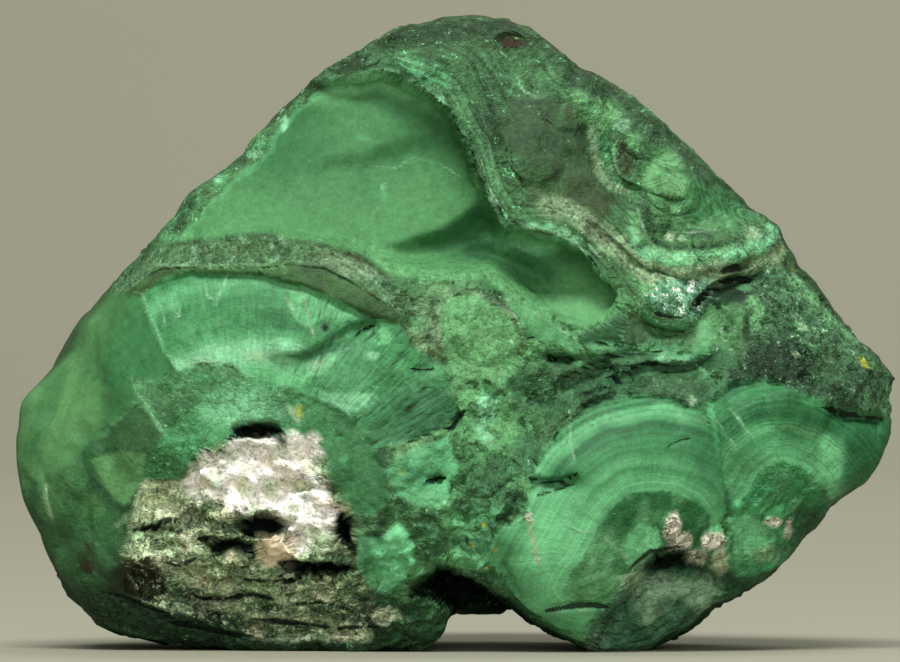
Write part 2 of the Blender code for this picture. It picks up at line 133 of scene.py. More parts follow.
# The undercut right lobe and the hollow over it
UNDERCUT_EDGE = [
    (20.3, 10), (22.3, 12.4), (26.2, 12.8), (27, 11.2), (29.5, 10.8), (33, 9), (38, 8), (30, -3), (14, -3),
    (14.8, 2), (15.5, 4), (17, 5.8), (18.5, 7.5),
]
UNDERCUT_FLOOR = [
    (24, 11.5, 15), (28, 9.5, 12), (22, 6, 9.5), (30, 5, 11), (20, 2, 11), (26, 3, 11.5), (34, 9, 9),
]

# The deep gap between the two lower lobes
GAP_EDGE = [
    (-1.6, -2), (-1.4, 5.4), (-3, 6.6), (-5.5, 7.4), (-4.5, 9), (-2.6, 11.2), (0, 11), (3, 9.2), (6.5, 6.7),
    (10, 4.3), (13, 2.6), (16, 0), (16, -2),
]
GAP_DEPTH = 25.0

# The pocket of porous matrix in the lower left of the face
MATRIX_EDGE = [
    (-36.9, 16.5), (-35.4, 20), (-31.5, 20.3), (-29, 23.3), (-24.5, 25), (-20.5, 24.5), (-16, 25),
    (-14.5, 20), (-12, 16.5), (-11.5, 11), (-9.5, 7), (-10, 2), (-22, 2), (-36, 6), (-38, 11),
]
MATRIX_SUNK = 1.8

# Ledges as (line, drop, fade): the face falls back by drop on the line's right side, and recovers over fade
LEDGES = [
    ([(10.6, 31), (12.5, 32), (13.7, 32.6), (15.6, 33.5), (18.5, 34.2), (20, 34.4),
      (23.5, 34.9)], 2.2, 1.8),
    ([(17, 31.8), (18.5, 32.4), (20.3, 33), (21.5, 33.5), (23.5, 33.5), (26.8, 33.7),
      (29.5, 35)], 2.0, 1.6),
    ([(13.8, 34.9), (15.3, 35.7), (17, 35.8), (18, 36), (18.8, 35.5)], -1.2, 1.0),
    ([(20.3, 40.4), (22.5, 38.3), (25.5, 37.7), (27, 38.3), (29.5, 41.6)], 2.0, 2.4),
    ([(26.3, 39), (28, 41), (29.5, 42.3), (31, 43.2), (33.5, 44), (36, 44.5)], 2.6, 2.0),
    ([(8, 20.8), (10, 20.3), (12, 20.3), (14, 21.3)], 1.2, 1.6),
    ([(42, 28.7), (44, 28), (46, 27.8), (49, 27.3)], 2.4, 2.0),
    ([(-22, 34.3), (-17, 35), (-12, 38), (-9, 38.8)], 1.0, 4.0),
    ([(-38, 41.8), (-35, 42.5), (-30, 44.1), (-22, 43.8), (-17, 42.3), (-12, 40), (-6, 38.3)], 0.9, 3.0),
    ([(17, 66.5), (18, 63), (17.5, 58), (19, 54.5), (23, 53), (27, 52.5)], 1.6, 4.0),
    ([(14, 51), (18, 47.6), (21, 45), (26, 43.6), (31, 44.6)], 1.2, 2.5),
    ([(9.2, 23.5), (11.5, 26.5), (14, 28.8), (18, 30.3), (24, 30), (28, 28.4)], 1.0, 3.0),
    ([(28.5, 29), (31, 31.4), (34.5, 32), (38, 31)], 1.0, 3.0),
    ([(-36.5, 15), (-33, 15.2), (-30, 15.6)], 2.4, 1.8),
    ([(-36, 10.5), (-30, 9.8), (-24, 8.6), (-18, 8)], 2.0, 2.5),
    ([(-41, 7.5), (-36, 6.2), (-30, 4), (-25, 2.6)], 1.5, 2.0),
]

# Holes as (x, z, half width, half height, depth)
HOLES = [
    (-22.6, 26, 2.8, 0.9, 4.0),
    (-22.3, 15.2, 2.7, 1.2, 6.0),
    (-26, 12.6, 2.6, 0.9, 3.0),
    (-12.8, 15, 1.1, 1.9, 4.0),
    (-15.8, 10.3, 4.2, 0.9, 5.0),
    (-36.3, 9.2, 2.4, 2.2, 2.5),
    (11.6, 34.1, 2.3, 0.9, 2.2),
    (6.3, 70.5, 1.8, 1.1, 1.6),
    (19.5, 57, 1.4, 2.1, 1.4),
    (-2.4, 20.4, 1.2, 0.6, 1.8),
    (-9.8, 9.5, 1.0, 2.2, 1.6),
]

# How many of the holes, from the first, are in or by the matrix and painted black inside as their shade
MATRIX_HOLES = 5

# Swellings of the weathered skin as (x, z, radius, height)
KNOBS = [
    (25, 54, 3.4, 1.8),
    (21, 50.3, 3.2, 1.4),
    (30.5, 47.5, 3.4, 1.6),
    (13, 64, 3.8, 1.5),
    (-4, 69.6, 3.6, 1.3),
    (21.5, 60, 3.0, 1.3),
    (9, 58, 4.2, 1.2),
    (33, 39.5, 3.2, 1.0),
    (41, 37.5, 3.4, 1.2),
    (2.5, 22.5, 3.6, 1.2),
    (37, 15.3, 2.4, 1.0),
    (29.3, 13.2, 1.8, 1.1),
    (24.8, 14.8, 1.8, 0.9),
    (-20.8, 12.4, 2.4, 2.0),
    (-43.5, 22, 3.5, 1.0),
    (37.4, 28.6, 2.4, 0.8),
    (3.5, 38, 4.5, 0.9),
]

# The back, as (x, z, share of the full depth)
BACK = [
    (0, 33, 0.98), (-22, 22, 0.97), (24, 20, 0.9), (-4, 58, 0.86), (-34, 40, 0.85), (26, 46, 0.82),
    (2, 8, 0.9), (-40, 14, 0.86), (40, 26, 0.84), (10, 40, 1.0), (-16, 44, 0.9),
]

# Broken faces on the back as (x, z, radius, depth), with the land falling away from each one's upper edge
SCARS = [
    (22, 30, 17, 5.0),
    (-24, 47, 14, 4.0),
    (-14, 14, 12, 3.5),
]

# The rough skin as (size of the lumps, height)
ROUGHNESS = [(17, 1.1), (7.5, 0.75), (3.6, 0.42), (1.9, 0.2)]
SMOOTH_PLACES_ROUGHNESS = 0.12
OUTLINE_ROUGHNESS = 0.3
MATRIX_ROUGHNESS = 1.5


def smooth(start, end, value):
    """0 up to start and 1 from end, with a soft rise between."""
    share = np.clip((value - start) / (end - start), 0, 1)
    return share * share * (3 - 2 * share)


def near(x, z, line):
    """Distance from an open line, negative on its left hand, and the share of the line passed there."""
    best = np.full(x.shape, 1e9)
    lean = np.zeros(x.shape)
    along = np.zeros(x.shape)
    for number, ((ax, az), (bx, bz)) in enumerate(zip(line, line[1:])):
        dx, dz = bx - ax, bz - az
        share = np.clip(((x - ax) * dx + (z - az) * dz) / (dx * dx + dz * dz), 0, 1)
        distance = np.hypot(x - ax - share * dx, z - az - share * dz)
        off = (dz * (x - ax) - dx * (z - az)) / math.hypot(dx, dz)
        level = np.abs(distance - best) < 1e-9
        closer = np.where(level, np.abs(off) > np.abs(lean), distance < best)
        best = np.where(closer, distance, best)
        lean = np.where(closer, off, lean)
        along = np.where(closer, (number + share) / (len(line) - 1), along)
    return best * np.where(lean < 0, -1, 1), along


def inside(x, z, ring):
    """Distance inwards from a closed outline: positive within it and negative outside."""
    best = np.abs(near(x, z, ring + ring[:1])[0])
    within = np.zeros(x.shape, bool)
    for (ax, az), (bx, bz) in zip(ring, ring[1:] + ring[:1]):
        if az != bz:
            within ^= ((az > z) != (bz > z)) & (x < (bx - ax) * (z - az) / (bz - az) + ax)
    return np.where(within, best, -best)


def inside_any(x, z, *outlines):
    """Distance inwards from the nearest of several closed outlines."""
    return np.maximum.reduce([inside(x, z, ring) for ring in outlines])


def sheet(points, x, z):
    """Depth at x and z of the smoothest sheet through points of (x, z, depth)."""
    known = np.array(points, float)
    count = len(known)

    def bend(square):
        return square * np.log(square + 1e-6)

    gaps = known[:, None, :2] - known[None, :, :2]
    system = np.zeros((count + 3, count + 3))
    system[:count, :count] = bend((gaps**2).sum(axis=2)) + np.eye(count) * 8
    system[:count, count] = system[count, :count] = 1
    system[:count, count + 1 :] = known[:, :2]
    system[count + 1 :, :count] = known[:, :2].T
    weights = np.linalg.solve(system, np.append(known[:, 2], [0, 0, 0]))
    depth = weights[count] + weights[count + 1] * x + weights[count + 2] * z
    for (px, pz, _), weight in zip(points, weights):
        depth = depth + weight * bend((x - px) ** 2 + (z - pz) ** 2)
    return depth


def lattice(x, y, z, seed):
    """A repeatable random value from -1 to 1 for each place on a whole-numbered grid."""
    mixed = (x * 374761393 + y * 668265263 + z * 1274126177 + seed * 974634777) & 0xFFFFFFFF
    mixed = ((mixed ^ (mixed >> 13)) * 1103515245) & 0xFFFFFFFF
    mixed = ((mixed ^ (mixed >> 16)) * 1845824339) & 0xFFFFFFFF
    return (mixed ^ (mixed >> 15)) / 2147483648.0 - 1


def noise(points, size, seed):
    """Soft random lumps about size across, from -1 to 1. The grid is turned, so that it doesn't show."""
    turn = seed * 0.7 + 0.5
    cosine, sine = math.cos(turn), math.sin(turn)
    turned = points @ np.array([[cosine, -sine, 0], [sine, cosine, 0], [0, 0, 1]])
    turned = turned @ np.array([[1, 0, 0], [0, cosine, -sine], [0, sine, cosine]])
    place = turned / size
    low = np.floor(place).astype(np.int64)
    part = place - low
    part = part * part * part * (part * (part * 6 - 15) + 10)
    total = np.zeros(len(points))
    for corner in range(8):
        step = np.array([corner & 1, corner >> 1 & 1, corner >> 2])
        share = np.prod(np.where(step, part, 1 - part), axis=1)
        total += share * lattice(*(low + step).T, seed)
    return total


def face_depth(x, z):
    """Depth of the broken face at x and z, with its bowl, hollows, ledges, holes and knobs."""
    depth = sheet(FACE, x, z)

    inwards = inside(x, z, BOWL_EDGE)
    slope = 1.0 + 4.0 * smooth(49, 44, z) * smooth(12, 4, x)
    floor = sheet(BOWL_FLOOR, x, z)
    for line, drop, fall, fade in BOWL_WAVES:
        behind, along = near(x, z, line)
        taper = smooth(0, 0.2, along) * smooth(1, 0.8, along)
        floor += drop * taper * smooth(-0.2, fall, behind) * np.exp(-((behind / fade) ** 2))
    depth += (floor - depth) * smooth(0, 1, inwards / slope)
    depth -= 0.7 * np.exp(-((inwards + 0.5) ** 2)) * smooth(44, 50, z)

    inwards = inside(x, z, UNDERCUT_EDGE)
    depth += (sheet(UNDERCUT_FLOOR, x, z) - depth) * smooth(0, 1.2, inwards)

    depth += MATRIX_SUNK * smooth(-0.4, 1.2, inside(x, z, MATRIX_EDGE))

    for line, drop, fade in LEDGES:
        behind, along = near(x, z, line)
        taper = smooth(0, 0.12, along) * smooth(1, 0.88, along)
        depth += drop * taper * smooth(-0.2, 0.3, behind) * np.exp(-((behind / fade) ** 2))

    for px, pz, half_width, half_height, deep in HOLES:
        reach = np.hypot((x - px) / half_width, (z - pz) / half_height)
        depth += deep * smooth(1.15, 0.65, reach)

    for px, pz, radius, height in KNOBS:
        reach = np.hypot(x - px, z - pz) / radius
        depth -= height * np.sqrt(np.clip(1 - reach * reach, 0, 1))

    inwards = inside(x, z, GAP_EDGE)
    depth += (GAP_DEPTH - depth) * smooth(0, 1.4, inwards)
    return depth


def back_depth(x, z):
    """How far back the stone would reach at x and z if its sides didn't round off."""
    depth = DEPTH * sheet(BACK, x, z)
    for px, pz, radius, deep in SCARS:
        reach = np.hypot(x - px, z - pz) / radius
        depth -= deep * smooth(1, 0.55, reach) * smooth(-1.1, 0.7, (z - pz) / radius + 0.4)
    return depth


def outline_reach(degrees):
    """Distance from the middle to the outline in each direction."""
    outline = np.array(OUTLINE) - MIDDLE
    directions = np.degrees(np.arctan2(outline[:, 1], outline[:, 0])) % 360
    order = np.argsort(directions)
    return np.interp(degrees, directions[order], np.hypot(*outline[order].T), period=360)


def even_reach(degrees):
    """The same with the gap between the lobes and the small corners evened out, for the back."""
    turns = np.linspace(-2, 2, 9)
    shares = np.exp(-turns * turns / 2)
    evened = sum(part * outline_reach(degrees + turn * BACK_EVENNESS) for part, turn in zip(shares, turns))
    return evened / shares.sum()


def stone_form(blank):
    """Places on the stone for the points of a ball of radius 1, with no rough skin yet."""
    share = (1 + blank[:, 1]) / 2
    front = share < FRONT_SHARE
    step = np.sqrt(np.where(front, share / FRONT_SHARE, (1 - share) / (1 - FRONT_SHARE)))
    out = EDGE_CROWDING * np.sin(step * math.pi / 2) + (1 - EDGE_CROWDING) * step
    angle = np.arctan2(blank[:, 2], blank[:, 0])
    degrees = np.degrees(angle) % 360
    girth_depth = np.interp(degrees, *np.array(GIRTH_DEPTHS, float).T)
    evenness = np.where(front, 0, smooth(1, 0.86, out))
    reach = outline_reach(degrees) * (1 - evenness) + even_reach(degrees) * evenness
    x = MIDDLE[0] + out * reach * np.cos(angle)
    z = MIDDLE[1] + out * reach * np.sin(angle)
    face_squareness = np.interp(degrees, *np.array(FACE_SQUARENESS, float).T)
    back_squareness = np.interp(degrees, *np.array(BACK_SQUARENESS, float).T)
    squareness = np.where(front, face_squareness, back_squareness)
    fullness = np.clip(1 - out**squareness, 0, 1) ** (1 / squareness)
    far = np.where(front, face_depth(x, z), back_depth(x, z))
    return np.column_stack([x, girth_depth + (far - girth_depth) * fullness, z]), front, out, fullness


def calmness(x, z, front, out):
    """1 where the stone is smooth, as in the bowl and on the cut fans, and 0 on its rough skin."""
    bowl = smooth(0.5, 3, inside(x, z, BOWL_EDGE))
    left_fan = smooth(15, 10, np.hypot((x + 21) / 1.5, z - 36))
    right_fan = smooth(15, 11, np.hypot(x - 20, z - 17))
    calm = np.maximum(bowl, np.maximum(left_fan, right_fan) * 0.9)
    return np.where(front, calm * smooth(1, 0.85, out), 0)


def rough_skin(points, front, out, fullness):
    """Height of the rough skin over the form at each point."""
    x, z = points[:, 0], points[:, 2]
    height = sum(tall * noise(points, size, seed) for seed, (size, tall) in enumerate(ROUGHNESS))
    height *= 1 - (1 - SMOOTH_PLACES_ROUGHNESS) * calmness(x, z, front, out)
    height *= 1 - (1 - OUTLINE_ROUGHNESS) * smooth(0.35, 0.1, fullness)
    matrix = np.where(front, smooth(0, 1.5, inside(x, z, MATRIX_EDGE)), 0)
    layers = np.column_stack([x * 0.45, points[:, 1], z])
    height += MATRIX_ROUGHNESS * matrix * (0.6 * noise(layers, 2.6, 11) + 0.4 * noise(points, 1.6, 12))
    return height


# The outlines of the painted areas. Growth rings follow the two cores and turn round the left fan's centre.
CORE = [
    (12.8, 9.5), (14.5, 12), (16, 15), (17.5, 17), (19.5, 18.7), (22.5, 19.3), (25, 18.9), (27, 17.8),
    (28.5, 16), (28.8, 15), (28, 13), (26.5, 12.8), (23.4, 12.8), (22, 12), (20.3, 10), (18.5, 7.5),
    (17.5, 6.2), (13.5, 6.6), (12, 8),
]
SECOND_CORE = [
    (33.3, 19), (34.3, 21), (36, 22.2), (37.5, 22.3), (39.5, 21.5), (41, 20.3), (42, 19), (43, 17.5),
    (40.5, 14), (37, 10.5), (33, 9), (30.5, 10.5), (30.5, 15), (31.5, 17),
]
LEFT_CENTRE = (-23, 17)

LEFT_FAN = [
    (-36, 41.4), (-35, 39.3), (-34, 36.8), (-33, 34.5), (-31.5, 32.5), (-30.5, 33.2), (-29, 33.8),
    (-25.5, 33.5), (-24, 32), (-23, 31.6), (-20.5, 31.4), (-18.4, 30.6), (-15.6, 29.4), (-12.4, 28),
    (-11, 27), (-10, 25.5), (-9, 24), (-5, 24.9), (-2, 26.4), (0.4, 28), (-1, 31), (-2, 33.4), (-5, 35.6),
    (-6.3, 37.6), (-8.6, 38.8), (-10.2, 39), (-12, 40), (-14, 41), (-17, 42.4), (-20, 43), (-22, 43.8),
    (-25, 44), (-30, 44.1), (-33, 43.8), (-35, 42.5),
]
RIM_BAND = [
    (-41, 42.5), (-38, 44.7), (-36, 46.3), (-34, 47), (-30, 47.2), (-26, 47.5), (-22, 48), (-17, 47.2),
    (-14, 46.5), (-11, 45.5), (-9, 44.2), (-7.8, 43), (-6.3, 41.5), (-5, 40.5), (-4.5, 38), (-6, 38.3),
    (-10, 39), (-12, 40), (-14, 41), (-17, 42.3), (-20, 43), (-22, 43.8), (-25, 44), (-30, 44.1),
    (-33, 43.8), (-35, 42.5), (-36, 41.5), (-38, 41.8),
]
RIM_STEP = [
    (-35.5, 43.4), (-33.5, 44.7), (-22, 44.7), (-19, 45.2), (-15, 44.7), (-12, 43.2), (-10, 42), (-8, 40.8),
    (-6.5, 39.5),
]
LEFT_DARK = [
    (-42, 42.5), (-36, 41.3), (-35, 39.3), (-34, 36.8), (-33, 34.5), (-31.5, 32.5), (-30, 30.5),
    (-33.5, 30.6), (-35.5, 30.4), (-37.5, 28.6), (-39.5, 26.6), (-42, 24.8), (-44, 22), (-48, 20),
    (-52, 24), (-51, 32), (-47, 38),
]
INNER_BAND = [
    (-37.2, 31.8), (-35.2, 28.2), (-33.4, 25.4), (-35.2, 22.6), (-36.2, 20.4), (-33, 20.3), (-31, 20.2),
    (-29, 22.5), (-26, 24.6), (-23, 25.6), (-20, 26.2), (-18, 25.4), (-16, 24.8), (-14.8, 21.5),
    (-13.6, 18.4), (-12.4, 16.8), (-9.4, 16.2), (-7.6, 18.2), (-8.2, 21), (-9.1, 24), (-10, 26),
    (-11.2, 27.3), (-12.4, 28), (-15.6, 29.4), (-18.4, 30.6), (-20.5, 31.4), (-23, 31.6), (-24, 32),
    (-25.5, 33.5), (-29, 33.8), (-30.5, 33.2), (-31.5, 32.5), (-33, 32.3),
]
WHITE = [
    (-31.5, 20.3), (-29.8, 22.2), (-28.4, 23.4), (-27, 23.2), (-25.8, 24.9), (-22.6, 25.1), (-20.4, 24.4),
    (-18.4, 25.6), (-16.6, 25.2), (-15.6, 23.6), (-16.4, 21.6), (-14.6, 19.6), (-13.6, 17.2), (-13.2, 14.6),
    (-14, 12.4), (-16.6, 12.6), (-18.6, 11.6), (-19.4, 15.4), (-21, 16.8), (-25, 16.9), (-27.6, 18.6),
    (-29.6, 18.3),
]
TAN_BLOB = (-20.7, 12.6)
GREY_MATRIX = [(-36.7, 16), (-35.5, 20), (-31, 20.2), (-29.3, 18), (-30, 15.6)]
RIM_EDGE = [
    (-23.5, 57.5), (-19.8, 61.5), (-16, 65.2), (-14, 66), (-11, 66.8), (-8.5, 67.4), (-6.8, 66.8),
    (-5, 65.8), (-4, 65.1), (-2.2, 64), (-1, 62.5), (0, 60.3), (1.3, 58), (1.9, 55.8), (2.4, 54.2),
    (3.2, 53), (4.3, 51.3), (5.3, 49), (8, 49), (10.5, 49), (12, 48), (13.5, 47.5), (15, 45.8), (17, 43.5),
    (19.7, 40.2),
]
BOWL_HOLLOW = [
    (2.6, 53), (0.6, 50.8), (-1.5, 49.4), (-5, 48.2), (-4, 46.6), (-1, 45.4), (3, 45), (8, 44.5),
    (11, 44.2), (10, 46.5), (5.5, 47.5), (4, 50),
]
CRUST = [
    (-17, 66.5), (-14, 66.7), (-8.5, 67.9), (-6.8, 67.3), (-4, 65.6), (-1, 63), (0.3, 60.5), (2.2, 56),
    (3.4, 53.2), (5.5, 49.5), (8, 49.6), (12, 48.6), (15.5, 46.3), (20, 41), (22.5, 38.5), (27, 38),
    (30, 42), (36, 45), (41, 44), (60, 50), (40, 90), (-30, 80),
]
OLIVE = [
    (5.8, 61), (6.5, 64), (10, 64), (13.5, 62.5), (15, 58), (16.5, 54.5), (18, 52), (15.5, 49.5),
    (11, 51.5), (8.5, 52.5), (7.3, 54), (7.4, 56),
]
TAN_BAND = [(10, 51.5), (13, 51), (17, 48), (20, 45.2), (23, 43.7), (26, 43.4), (30, 44.2)]
LOBE_CURVE = [(20.5, 53), (21, 50), (22.2, 48.2), (24.5, 47.3), (30, 47.4), (34.5, 49.3)]
DRUSE = [
    (31.5, 30.5), (31, 33), (33, 34.5), (33, 40), (31.5, 42), (35, 44.5), (38, 44.5), (42, 42), (46, 38),
    (50, 34), (52, 30), (50, 27.5), (42, 29.3), (38, 30.5),
]
SUGARY = [(21.5, 41.5), (23, 43), (29, 43.3), (29.5, 42), (27.5, 39), (24, 38.8), (22.5, 39.5)]
NODULE = [
    (-1, 41.7), (2, 41.7), (5, 40.3), (6.8, 38.5), (7.6, 36.5), (7, 34.5), (5, 31), (2.5, 32), (0, 31.5),
    (-1.5, 35), (-2, 39),
]
RIGHT_FAN = [
    (8.5, 21), (9.2, 22.8), (10.5, 24.5), (13, 27.3), (16, 29.2), (20, 29.9), (24, 29.6), (27.5, 28.2),
    (29, 26), (31, 22), (31.5, 17.5), (30, 15.5), (30.5, 12.8), (28, 12), (23, 12.8), (20.3, 10),
    (18.5, 7.5), (17, 5.8), (14.8, 2.9), (12, 3.1), (10, 4.4), (8, 5.5), (5.5, 9), (3.2, 11.5), (4.5, 14.5),
    (8, 16.5), (8, 18.8), (8.8, 19.8),
]
SECOND_FAN = [
    (28.3, 28.8), (31, 31), (34.5, 31.6), (37, 31.2), (40, 30), (44, 28.4), (49, 27.5), (51, 24),
    (48.5, 21), (43, 17.8), (41.5, 20), (37, 18), (33.3, 19), (31.8, 17.5), (30.5, 20), (29.5, 25),
]
SLAB = [
    (-11, 14), (-9, 13.7), (-6.5, 15.2), (-5.4, 14.5), (-4.9, 11), (-5.5, 9), (-7.5, 7.6), (-10, 8),
    (-11.3, 11),
]
PATCH = [
    (-8, 21.5), (-7, 23), (-4, 24.2), (-1, 25.3), (0, 22), (-0.5, 19.5), (-2, 17.5), (-6, 18), (-7.5, 20),
]

FRESH_CHIP = [(-7, 68.2), (-5.5, 68.9), (-1.5, 67.5), (-0.5, 65.5), (-2, 64.3), (-4, 65.3), (-6, 66.8)]
MIDDLE_STEP = [
    (18.6, 36), (21.5, 36), (22.6, 37.6), (28.5, 36), (33, 35), (33, 40), (29, 42), (27, 39), (26, 37.5),
    (22, 38), (20, 40.4),
]
UNDERCUT_SHADE = [
    (20.6, 10.2), (22.5, 12.4), (26.2, 12.8), (26.5, 11.2), (28.6, 10.8), (28.6, 9.6), (24.5, 9.9),
    (22, 9.6),
]

# Smooth broken facets as (outline, colour, strength). Their lighter and darker greens are partly painted
# light and shade for faces that lean different ways, and the darkest are painted shade in hollows under
# ledges and in a crevice
FACETS = [
    ([(-19, 42.2), (-17.5, 42.5), (-13.5, 41), (-10.3, 39), (-12.6, 38.6), (-15, 39), (-17, 37.6),
      (-18.4, 38.6), (-19.2, 40)], "fan_light", 0.95),
    ([(-21.6, 39.2), (-19, 40.2), (-18.2, 38.4), (-16.8, 37.5), (-19.5, 37.3),
      (-21, 37.8)], "fan_dark", 0.55),
    ([(-17, 37.5), (-15, 39), (-12, 38), (-11.5, 37.2), (-14, 36.2), (-17, 35.5), (-18, 36)], "fan", 0.7),
    ([(-19.4, 34.5), (-16, 35.3), (-13, 36.3), (-11.5, 36.9), (-9.8, 38), (-10.2, 37.2), (-12, 35.8),
      (-13.3, 34.4), (-15, 34.4), (-18, 34)], "fan_dark", 0.8),
    ([(-17.2, 33.7), (-15.5, 34.4), (-13.4, 35.1), (-12.8, 35.8), (-13.5, 34), (-14.6, 33.2), (-15.6, 32.2),
      (-16.9, 32.2)], "fan_edge", 0.55),
    ([(-19.9, 33), (-18.3, 33.8), (-16.5, 33.3), (-16.3, 31.8), (-17.5, 30.6),
      (-19.6, 31.7)], "fan_bright", 0.5),
    ([(-15.8, 31), (-14.8, 32.8), (-13, 34.4), (-12, 35.7), (-10.5, 37), (-9, 35.7), (-8.4, 34.4),
      (-9.6, 32.4), (-10, 30.4), (-13, 30.4)], "fan_soft", 0.7),
    ([(-16.2, 29.8), (-14, 30.4), (-11.6, 30.4), (-9.2, 30), (-9.4, 29.2), (-11, 28.3), (-12.4, 28),
      (-14, 28.8)], "fan_edge", 0.8),
    ([(-10.3, 37), (-9.3, 37.8), (-8, 37.6), (-6.9, 36.5), (-7.7, 35.9), (-9, 35.7)], "fan_bright", 0.6),
    ([(-9.4, 29), (-6, 30.8), (-1.6, 31.4), (0.4, 28.4), (-1, 26.6), (-5, 25), (-9.2, 24), (-10.2, 26),
      (-11, 27.6)], "fan_deep", 0.4),
    ([(-5.8, 31.4), (-5, 32.8), (-3, 33), (-2.4, 32), (-3.4, 31), (-5, 30.8)], "fan_soft", 0.6),
    ([(-42, 24.6), (-39.5, 26.2), (-37, 28.8), (-35.3, 28.2), (-33.5, 25.2), (-35, 23.4), (-38, 23.6),
      (-41, 23.2)], "left_deep", 0.85),
    ([(-41.8, 22.6), (-38, 23.6), (-35.2, 23.3), (-36, 20), (-37.4, 17.8), (-39, 17.6)], "left_light", 0.9),
    ([(-42.2, 21.6), (-41.4, 21.8), (-39.2, 17.8), (-36.6, 16.2), (-38, 15.6),
      (-41, 18)], "left_deep", 0.6),
    ([(5.2, 41.2), (7, 40.7), (9.2, 39.7), (11, 38.5), (13, 36.9), (14.2, 35.5), (13, 35), (11.6, 35.9),
      (10, 35.9), (9, 36.1), (8, 36.6), (7.7, 37.8), (6.6, 39.4), (6, 40.1)], "facet", 0.95),
    ([(14.2, 37.3), (16.4, 37.6), (17.8, 38.6), (19.7, 40.2), (19, 37.8), (18.5, 36.3), (17.8, 35.9),
      (16, 35.8), (14.8, 35.3), (14, 35.9)], "hollow_shade", 0.9),
    ([(19.9, 40), (21, 39), (22.2, 38), (22.6, 37), (22.3, 36.2), (21, 36), (19.3, 36.2), (18.8, 36.6),
      (19.1, 37.8)], "facet_grey", 0.85),
    ([(20.6, 40.4), (22, 39.3), (23, 38.3), (25, 38.1), (26.2, 38), (25.8, 37.6), (24, 37.5), (22.6, 37.6),
      (21.8, 38.6)], "facet", 0.8),
    ([(22.6, 37.5), (26, 37.6), (27.6, 37), (27.4, 35.9), (24, 35.5), (21.4, 35.9)], "hollow_shade", 0.3),
    ([(27, 38.6), (28.6, 38.6), (29.3, 37), (29, 35.5), (27.2, 34), (26.6, 35),
      (27.4, 36.5)], "facet", 0.6),
    ([(17, 33.9), (20, 34.8), (23, 35.3), (26, 34.9), (27.2, 34.2), (25, 33.8), (22, 33.8), (19, 33.4)],
     "fan_edge", 0.8),
    ([(27.3, 33.8), (29.6, 35), (31, 33.6), (30, 32.4), (28.8, 32.2)], "hollow_shade", 0.7),
    ([(11, 33), (13.5, 33.3), (15.2, 33.7), (13.6, 32.7), (11.3, 31.7), (10.6, 32)], "facet_grey", 0.7),
    ([(13.9, 34.1), (15.1, 33.8), (14.5, 32.9), (13.6, 33.2)], "facet", 0.9),
    ([(14.6, 35.1), (16, 35.6), (17.9, 35.6), (18.2, 34.9), (16.5, 34.5), (14.9, 34.6)], "facet", 0.7),
    ([(19.2, 33), (22, 33.4), (25, 33.5), (27, 33.4), (27.8, 32.4), (25, 31.8),
      (21, 32.2)], "hollow_shade", 0.55),
    ([(20.8, 32.6), (21.6, 33.1), (22.6, 32.8), (22.2, 32.2), (21.2, 32.2)], "facet", 0.6),
    ([(29.8, 43), (33.4, 43.4), (34.2, 42.2), (33, 40.8), (30, 40.2), (28.4, 40.6)], "crevice_shade", 0.8),
    ([(31.6, 42.2), (33, 42.9), (34, 42.8), (33, 41.9)], "facet_grey", 0.9),
    ([(41.2, 21), (41.8, 23.4), (41.2, 25.2), (42.6, 25.3), (43.8, 23.6), (44.3, 21),
      (43, 20)], "fan_bright", 0.7),
    ([(31.2, 16), (33, 16.6), (35, 15.4), (35.4, 13), (34, 11.4), (31.6, 12)], "fan_bright", 0.6),
    ([(18.4, 12.8), (20.6, 15.4), (23, 15), (23.2, 13.2), (21.6, 12), (19.6, 10.2)], "fan_bright", 0.6),
]


# The middles that the growth turns round, as (x, z, radius at which distances around it are true)
BODY_GROWTH = (6, 22, 25)
LEFT_GROWTH = (*LEFT_CENTRE, 20)
RIGHT_GROWTH = (22, 12, 12)
SECOND_GROWTH = (37, 17, 9)
SKIN_GROWTH = (25, 54, 8)
BODY_GROWTH_DEPTH = 30

# Where the distances of each growth start, so that no two growths have the same bands
SECOND_START = 40
STRIP_START = 60
SKIN_START = 80

# The layered strip of skin along the bowl's rim
STRIP_EDGE = RIM_EDGE[6:]
STRIP_WIDTH = 6.5
STRIP_TOP = 71


def turned(x, z, growth):
    """Distance in millimetres around a growth's middle."""
    middle_x, middle_z, radius = growth
    return np.arctan2(z - middle_z, x - middle_x) * radius


def rings(points, front):
    """Distance along the growth and around it at each point, in millimetres."""
    x, z = points[:, 0], points[:, 2]
    along = np.linalg.norm(points - [BODY_GROWTH[0], BODY_GROWTH_DEPTH, BODY_GROWTH[1]], axis=1)
    around = turned(x, z, BODY_GROWTH)
    x, z = x[front], z[front]
    left = np.hypot(x - LEFT_CENTRE[0], z - LEFT_CENTRE[1])
    second = -inside(x, z, SECOND_CORE) + SECOND_START
    right = -inside(x, z, CORE)
    on_second = x > 29.5 + (28.5 - z) * 0.1
    on_right = x > 1
    face_along = np.where(on_right, np.where(on_second, second, right), left)
    face_around = np.where(on_second, turned(x, z, SECOND_GROWTH), turned(x, z, RIGHT_GROWTH))
    face_around = np.where(on_right, face_around, turned(x, z, LEFT_GROWTH))

    off, reach = near(x, z, STRIP_EDGE)
    skin = inside(x, z, CRUST) > 0
    strip = skin & (np.abs(off) < STRIP_WIDTH) & (z < STRIP_TOP)
    eye = np.hypot((x - 24) * 0.8, z - 53)
    stray = noise(points[front], 7, 44) * 3 + noise(points[front], 2.6, 45) * 1.3
    strip_along = np.abs(off) * 1.4 + stray * 0.4 + STRIP_START
    skin_along = eye + stray * 1.2 + SKIN_START
    along[front] = np.where(strip, strip_along, np.where(skin, skin_along, face_along))
    around[front] = np.where(strip, reach * 12, np.where(skin, turned(x, z, SKIN_GROWTH), face_around))
    return along, around


